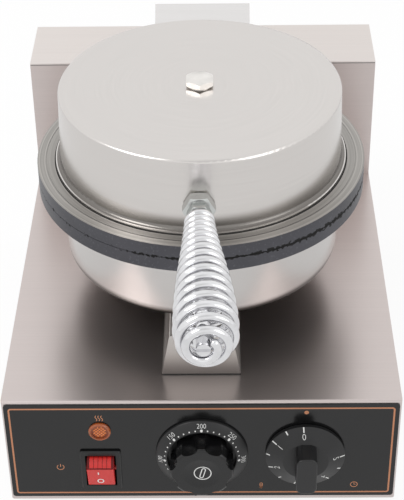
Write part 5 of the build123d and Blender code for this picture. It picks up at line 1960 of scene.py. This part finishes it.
@dataclass
class ThermostatControl:
    """The thermostat's fixed dial, a cone round a deep well, and its knob."""

    finishes: Finishes
    dial_radius: float = 29.4 * MM
    rim_height: float = 1.9 * MM
    top_radius: float = 22.6 * MM
    top_height: float = 5 * MM
    well_radius: float = 21.9 * MM
    floor_height: float = 0.6 * MM
    hub_radius: float = 8 * MM
    edge: float = 0.25 * MM
    dial_steps: int = 180
    figures: tuple[str, ...] = ("300", "250", "200", "150", "100")
    figure_height: float = 3.0 * MM
    figure_circle: float = 26.6 * MM
    dot_circle: float = 23.7 * MM
    dot_radius: float = 0.85 * MM
    small_dot_radius: float = 0.45 * MM
    print_height: float = 0.05 * MM
    step_angle: float = 47.0
    top_figure: int = 2
    small_steps: int = 5
    extra_dots: int = 2
    dish_radius: float = 12 * MM
    dish_depth: float = 1 * MM
    knob_edge: float = 0.6 * MM
    icon_radius: float = 5.3 * MM
    icon_steps: int = 64
    icon_line: float = 0.6 * MM
    icon_aside: float = 0.6 * MM
    bar_length: float = 8 * MM
    bar_width: float = 2.2 * MM
    bar_lean: float = -14.0

    def cone(self, radius: float) -> float:
        """Gives the height of the dial's sloping face at a radius."""
        share = (self.dial_radius - radius) / (self.dial_radius - self.top_radius)
        return self.rim_height + share * (self.top_height - self.rim_height)

    def dial(self, place: Matrix) -> Solid:
        """Builds the dial.

        Args:
            place: its middle on the panel, with local Z out of the panel.

        Returns:
            The dial.
        """
        profile = [
            (self.hub_radius, 0),
            (self.dial_radius, 0),
            (self.dial_radius, self.rim_height - self.edge),
            (self.dial_radius - self.edge, self.cone(self.dial_radius - self.edge)),
            (self.top_radius + self.edge, self.cone(self.top_radius + self.edge)),
            (self.top_radius, self.top_height),
            (self.well_radius + self.edge, self.top_height),
            (self.well_radius, self.top_height - self.edge),
            (self.well_radius, self.floor_height),
            (self.hub_radius, self.floor_height),
        ]
        return Solid("thermostat_dial_cone", place).spin(profile, self.dial_steps, closed=True)

    def scale(self, place: Matrix) -> Solid:
        """Builds the figures and dots on the dial's sloping face.

        Args:
            place: the dial's middle on the panel.

        Returns:
            The prints.
        """
        prints = Solid("thermostat_scale", place)
        lift = Matrix.Translation((0, self.figure_circle, self.print_height / 2))
        for number, text in enumerate(self.figures):
            angle = self.step_angle * (number - self.top_figure)
            turn = Matrix.Rotation(math.radians(angle), 4, "Z")
            prints.add_mesh(sign(text, self.figure_height, self.print_height), turn @ lift)
        count = (len(self.figures) - 1) * self.small_steps + self.extra_dots
        for i in range(count + 1):
            angle = self.step_angle * (i / self.small_steps - self.top_figure)
            large = i % self.small_steps == 0
            radius = self.dot_radius if large else self.small_dot_radius
            prints.disc(polar(self.dot_circle, angle), radius, self.print_height)
        return prints.drape(self.cone)

    def dish(self, radius: float) -> float:
        """Gives the level of the knob's hollow face at a radius, 0 at its rim."""
        curve = (self.dish_radius**2 + self.dish_depth**2) / (2 * self.dish_depth)
        return -(self.dish_depth - curve + math.sqrt(curve**2 - radius**2))

    def icon(self, place: Matrix) -> Solid:
        """Builds the sign on the knob's face: a leaning bar in a circle.

        Args:
            place: middle of the knob's face.

        Returns:
            The sign.
        """
        ring = [(self.icon_aside + x, y) for x, y in circle(self.icon_radius, self.icon_steps)]
        bar = capsule(self.bar_length, self.bar_width, self.bar_lean)
        bar = [(self.icon_aside + x, y) for x, y in bar]
        solid = Solid("thermostat_sign", place)
        solid.stroke(ring, self.icon_line, self.print_height, closed=True)
        solid.stroke(bar, self.icon_line, self.print_height, closed=True)
        return solid.drape(self.dish)

    def make(self) -> None:
        """Builds the dial and the prints, and dresses the knob."""
        dress(self.finishes.knob, "thermostat_knob")
        dress(self.finishes.black, "thermostat_body")
        soften(self.knob_edge, "thermostat_knob")
        dress(self.finishes.zinc, "thermostat_screws", "thermostat_shaft")
        place = panel_place("thermostat_dial")
        dial = self.dial(place).build(self.finishes.black)
        settle(dial, "base", "black_plastic", "thermostat_dial")
        settle(self.scale(place).build(self.finishes.white_print), "base", "black_plastic")
        middle = middle_of("thermostat_dial")
        face = front_place(middle.x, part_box("thermostat_knob")[0].y, middle.z)
        settle(self.icon(face).build(self.finishes.white_print), "thermostat_control", "black_plastic")


@dataclass
class TimerControl:
    """The timer's skirted knob with its scale."""

    finishes: Finishes
    skirt_radius: float = 25.2 * MM
    skirt_edge: float = 2.4 * MM
    cone_radius: float = 14.5 * MM
    cone_height: float = 7.5 * MM
    skirt_gap: float = 0.4 * MM
    figure_height: float = 3.9 * MM
    figure_circle: float = 19.4 * MM
    tick_end: float = 25 * MM
    tick_length: float = 3.2 * MM
    half_length: float = 2.4 * MM
    tick_width: float = 0.8 * MM
    tick_steps: int = 4
    print_height: float = 0.05 * MM
    knob_edge: float = 0.4 * MM
    first_angle: float = 4.0
    step_angle: float = 26.8
    last_minute: int = 5

    def cone(self, radius: float) -> float:
        """Gives the height of the skirt's sloping face at a radius."""
        share = (self.skirt_radius - radius) / (self.skirt_radius - self.cone_radius)
        return self.skirt_edge + share * (self.cone_height - self.skirt_edge)

    def scale(self, place: Matrix) -> Solid:
        """Builds the figures and ticks, one each half minute.

        Args:
            place: middle of the skirt's back.

        Returns:
            The prints.
        """
        prints = Solid("timer_scale", place)
        lift = Matrix.Translation((0, self.figure_circle, self.print_height / 2))
        for i in range(2 * self.last_minute + 1):
            angle = self.first_angle + self.step_angle * i
            whole = i % 2 == 0
            length = self.tick_length if whole else self.half_length
            steps = range(self.tick_steps + 1)
            line = [polar(self.tick_end - length * step / self.tick_steps, angle) for step in steps]
            prints.stroke(line, self.tick_width, self.print_height)
            if whole:
                turn = Matrix.Rotation(math.radians(angle), 4, "Z")
                prints.add_mesh(sign(str(i // 2), self.figure_height, self.print_height), turn @ lift)
        return prints.drape(self.cone)

    def make(self) -> None:
        """Builds the scale and dresses the timer."""
        dress(self.finishes.black, "timer_knob", "timer_body")
        soften(self.knob_edge, "timer_knob")
        dress(self.finishes.zinc, "timer_screws", "timer_shaft")
        place = panel_place("timer_knob", self.skirt_gap)
        settle(self.scale(place).build(self.finishes.white_print), "timer_control", "black_plastic")


@dataclass(frozen=True)
class SoftLamp:
    """A square soft lamp: its name, its place, its side and its watts."""

    name: str
    spot: tuple[float, float, float]
    size: float
    power: float


@dataclass
class Studio:
    """The floor, the light and the camera.

    The camera and shiny surfaces see the floor as its own light by the share glow, shiny surfaces at
    the strength floor_gloss. The sky is the surround's strength for rays that only light the iron. The
    dim side of the room is a soft round patch toward the cook, dim_height above the floor.
    """

    lens: float = 106.78
    sensor: float = 36.0
    clip: tuple[float, float] = (0.01, 100.0)
    place: tuple[float, float, float] = (0.0146, -0.8075, 0.7122)
    dip: float = 36.056
    heading: float = 1.037
    roll: float = -0.933
    floor_half: float = 6.0
    floor_white: float = 0.96
    floor_roughness: float = 0.9
    floor_gloss: float = 0.86
    glow: float = 0.88
    sky: float = 0.85
    dim: float = 0.22
    dim_height: float = math.radians(62)
    dim_core: float = math.radians(8)
    dim_edge: float = math.radians(28)
    lamp_aim: tuple[float, float, float] = (0.0, 0.0, 0.12)
    lamps: tuple[SoftLamp, ...] = (
        SoftLamp("key", (-0.9, -0.5, 1.3), size=0.7, power=7.0),
        SoftLamp("fill", (1.2, -0.9, 0.9), size=0.9, power=3.0),
    )

    def camera(self) -> None:
        """Makes the camera."""
        data = bpy.data.cameras.new("camera")
        data.lens = self.lens
        data.sensor_width = self.sensor
        data.clip_start, data.clip_end = self.clip
        camera = bpy.data.objects.new("camera", data)
        turn = Matrix.Rotation(math.radians(self.heading), 4, "Z")
        turn = turn @ Matrix.Rotation(math.radians(90 - self.dip), 4, "X")
        turn = turn @ Matrix.Rotation(math.radians(self.roll), 4, "Z")
        camera.matrix_world = Matrix.Translation(self.place) @ turn
        bpy.context.scene.collection.objects.link(camera)
        bpy.context.scene.camera = camera

    def world(self) -> None:
        """Makes an even pale surround that shows white to the camera and in bright metal."""
        world = bpy.data.worlds.new("surround")
        bpy.context.scene.world = world
        world.use_nodes = True
        graph = Graph(world.node_tree)
        background = world.node_tree.nodes["Background"]
        rays = graph.add("ShaderNodeLightPath")
        seen = graph.sum("MAXIMUM", rays.outputs["Is Camera Ray"], rays.outputs["Is Glossy Ray"])
        seen = graph.sum("MAXIMUM", seen, rays.outputs["Is Transmission Ray"])
        strength = graph.sum("MULTIPLY_ADD", seen, 1 - self.sky, self.sky)
        # the dim side of the room, toward the cook, shows only in shiny surfaces
        way = graph.add("ShaderNodeTexCoord").outputs["Generated"]
        toward = (0.0, -math.cos(self.dim_height), math.sin(self.dim_height))
        near = graph.vector("DOT_PRODUCT", way, toward).outputs["Value"]
        dim = graph.spread(near, math.cos(self.dim_edge), math.cos(self.dim_core), 0.0, self.dim)
        dim = graph.sum("MULTIPLY", dim, rays.outputs["Is Glossy Ray"])
        strength = graph.sum("MULTIPLY", strength, graph.sum("SUBTRACT", 1.0, dim))
        graph.feed(background, {"Color": WHITE, "Strength": strength})

    def floor(self) -> None:
        """Makes the floor: white to the camera, but for a faint shadow."""
        mesh = bpy.data.meshes.new("floor")
        half = self.floor_half
        corners = [(-half, -half, 0), (half, -half, 0), (half, half, 0), (-half, half, 0)]
        mesh.from_pydata(corners, [], [(0, 1, 2, 3)])
        floor = bpy.data.objects.new("floor", mesh)
        bpy.context.scene.collection.objects.link(floor)
        material = bpy.data.materials.new("Pale floor")
        material.use_nodes = True
        graph = Graph(material.node_tree)
        nodes = material.node_tree.nodes
        shader = nodes["Principled BSDF"]
        pale = (self.floor_white, self.floor_white, self.floor_white, 1.0)
        graph.feed(shader, {"Base Color": pale, "Roughness": self.floor_roughness})
        rays = graph.add("ShaderNodeLightPath")
        glossy = rays.outputs["Is Glossy Ray"]
        strength = graph.sum("MULTIPLY_ADD", glossy, self.floor_gloss - 1, 1.0)
        glow = graph.add("ShaderNodeEmission", {"Color": WHITE, "Strength": strength})
        seen = graph.sum("MAXIMUM", rays.outputs["Is Camera Ray"], glossy)
        share = graph.sum("MULTIPLY", seen, self.glow)
        mixed = graph.add("ShaderNodeMixShader", {0: share, 1: shader.outputs[0], 2: glow.outputs[0]})
        graph.feed(nodes["Material Output"], {"Surface": mixed.outputs[0]})
        mesh.materials.append(material)

    def lamp(self, given: SoftLamp) -> None:
        """Makes a lamp that faces the iron.

        Args:
            given: the lamp's name, place and strength.
        """
        data = bpy.data.lights.new(given.name, "AREA")
        data.shape = "SQUARE"
        data.size = given.size
        data.energy = given.power
        lamp = bpy.data.objects.new(given.name, data)
        lamp.location = given.spot
        aim = Vector(self.lamp_aim) - Vector(given.spot)
        lamp.rotation_mode = "QUATERNION"
        lamp.rotation_quaternion = aim.to_track_quat("-Z", "Y")
        bpy.context.scene.collection.objects.link(lamp)

    def make(self) -> None:
        """Makes the whole studio."""
        bpy.context.scene.view_settings.view_transform = "Standard"
        self.camera()
        self.world()
        self.floor()
        for lamp in self.lamps:
            self.lamp(lamp)


def main() -> None:
    """Builds the looks of the iron round its frame."""
    logging.basicConfig(level=logging.INFO, format="%(message)s")
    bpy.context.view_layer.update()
    Studio().make()
    finishes = Finishes()
    for part in (
        BaseBox(finishes),
        Pots(finishes),
        Handle(finishes),
        Panel(finishes),
        Lamp(finishes),
        RockerSwitch(finishes),
        ThermostatControl(finishes),
        TimerControl(finishes),
    ):
        part.make()
        log.info("finished %s", type(part).__name__)


if __name__ == "__main__":
    main()
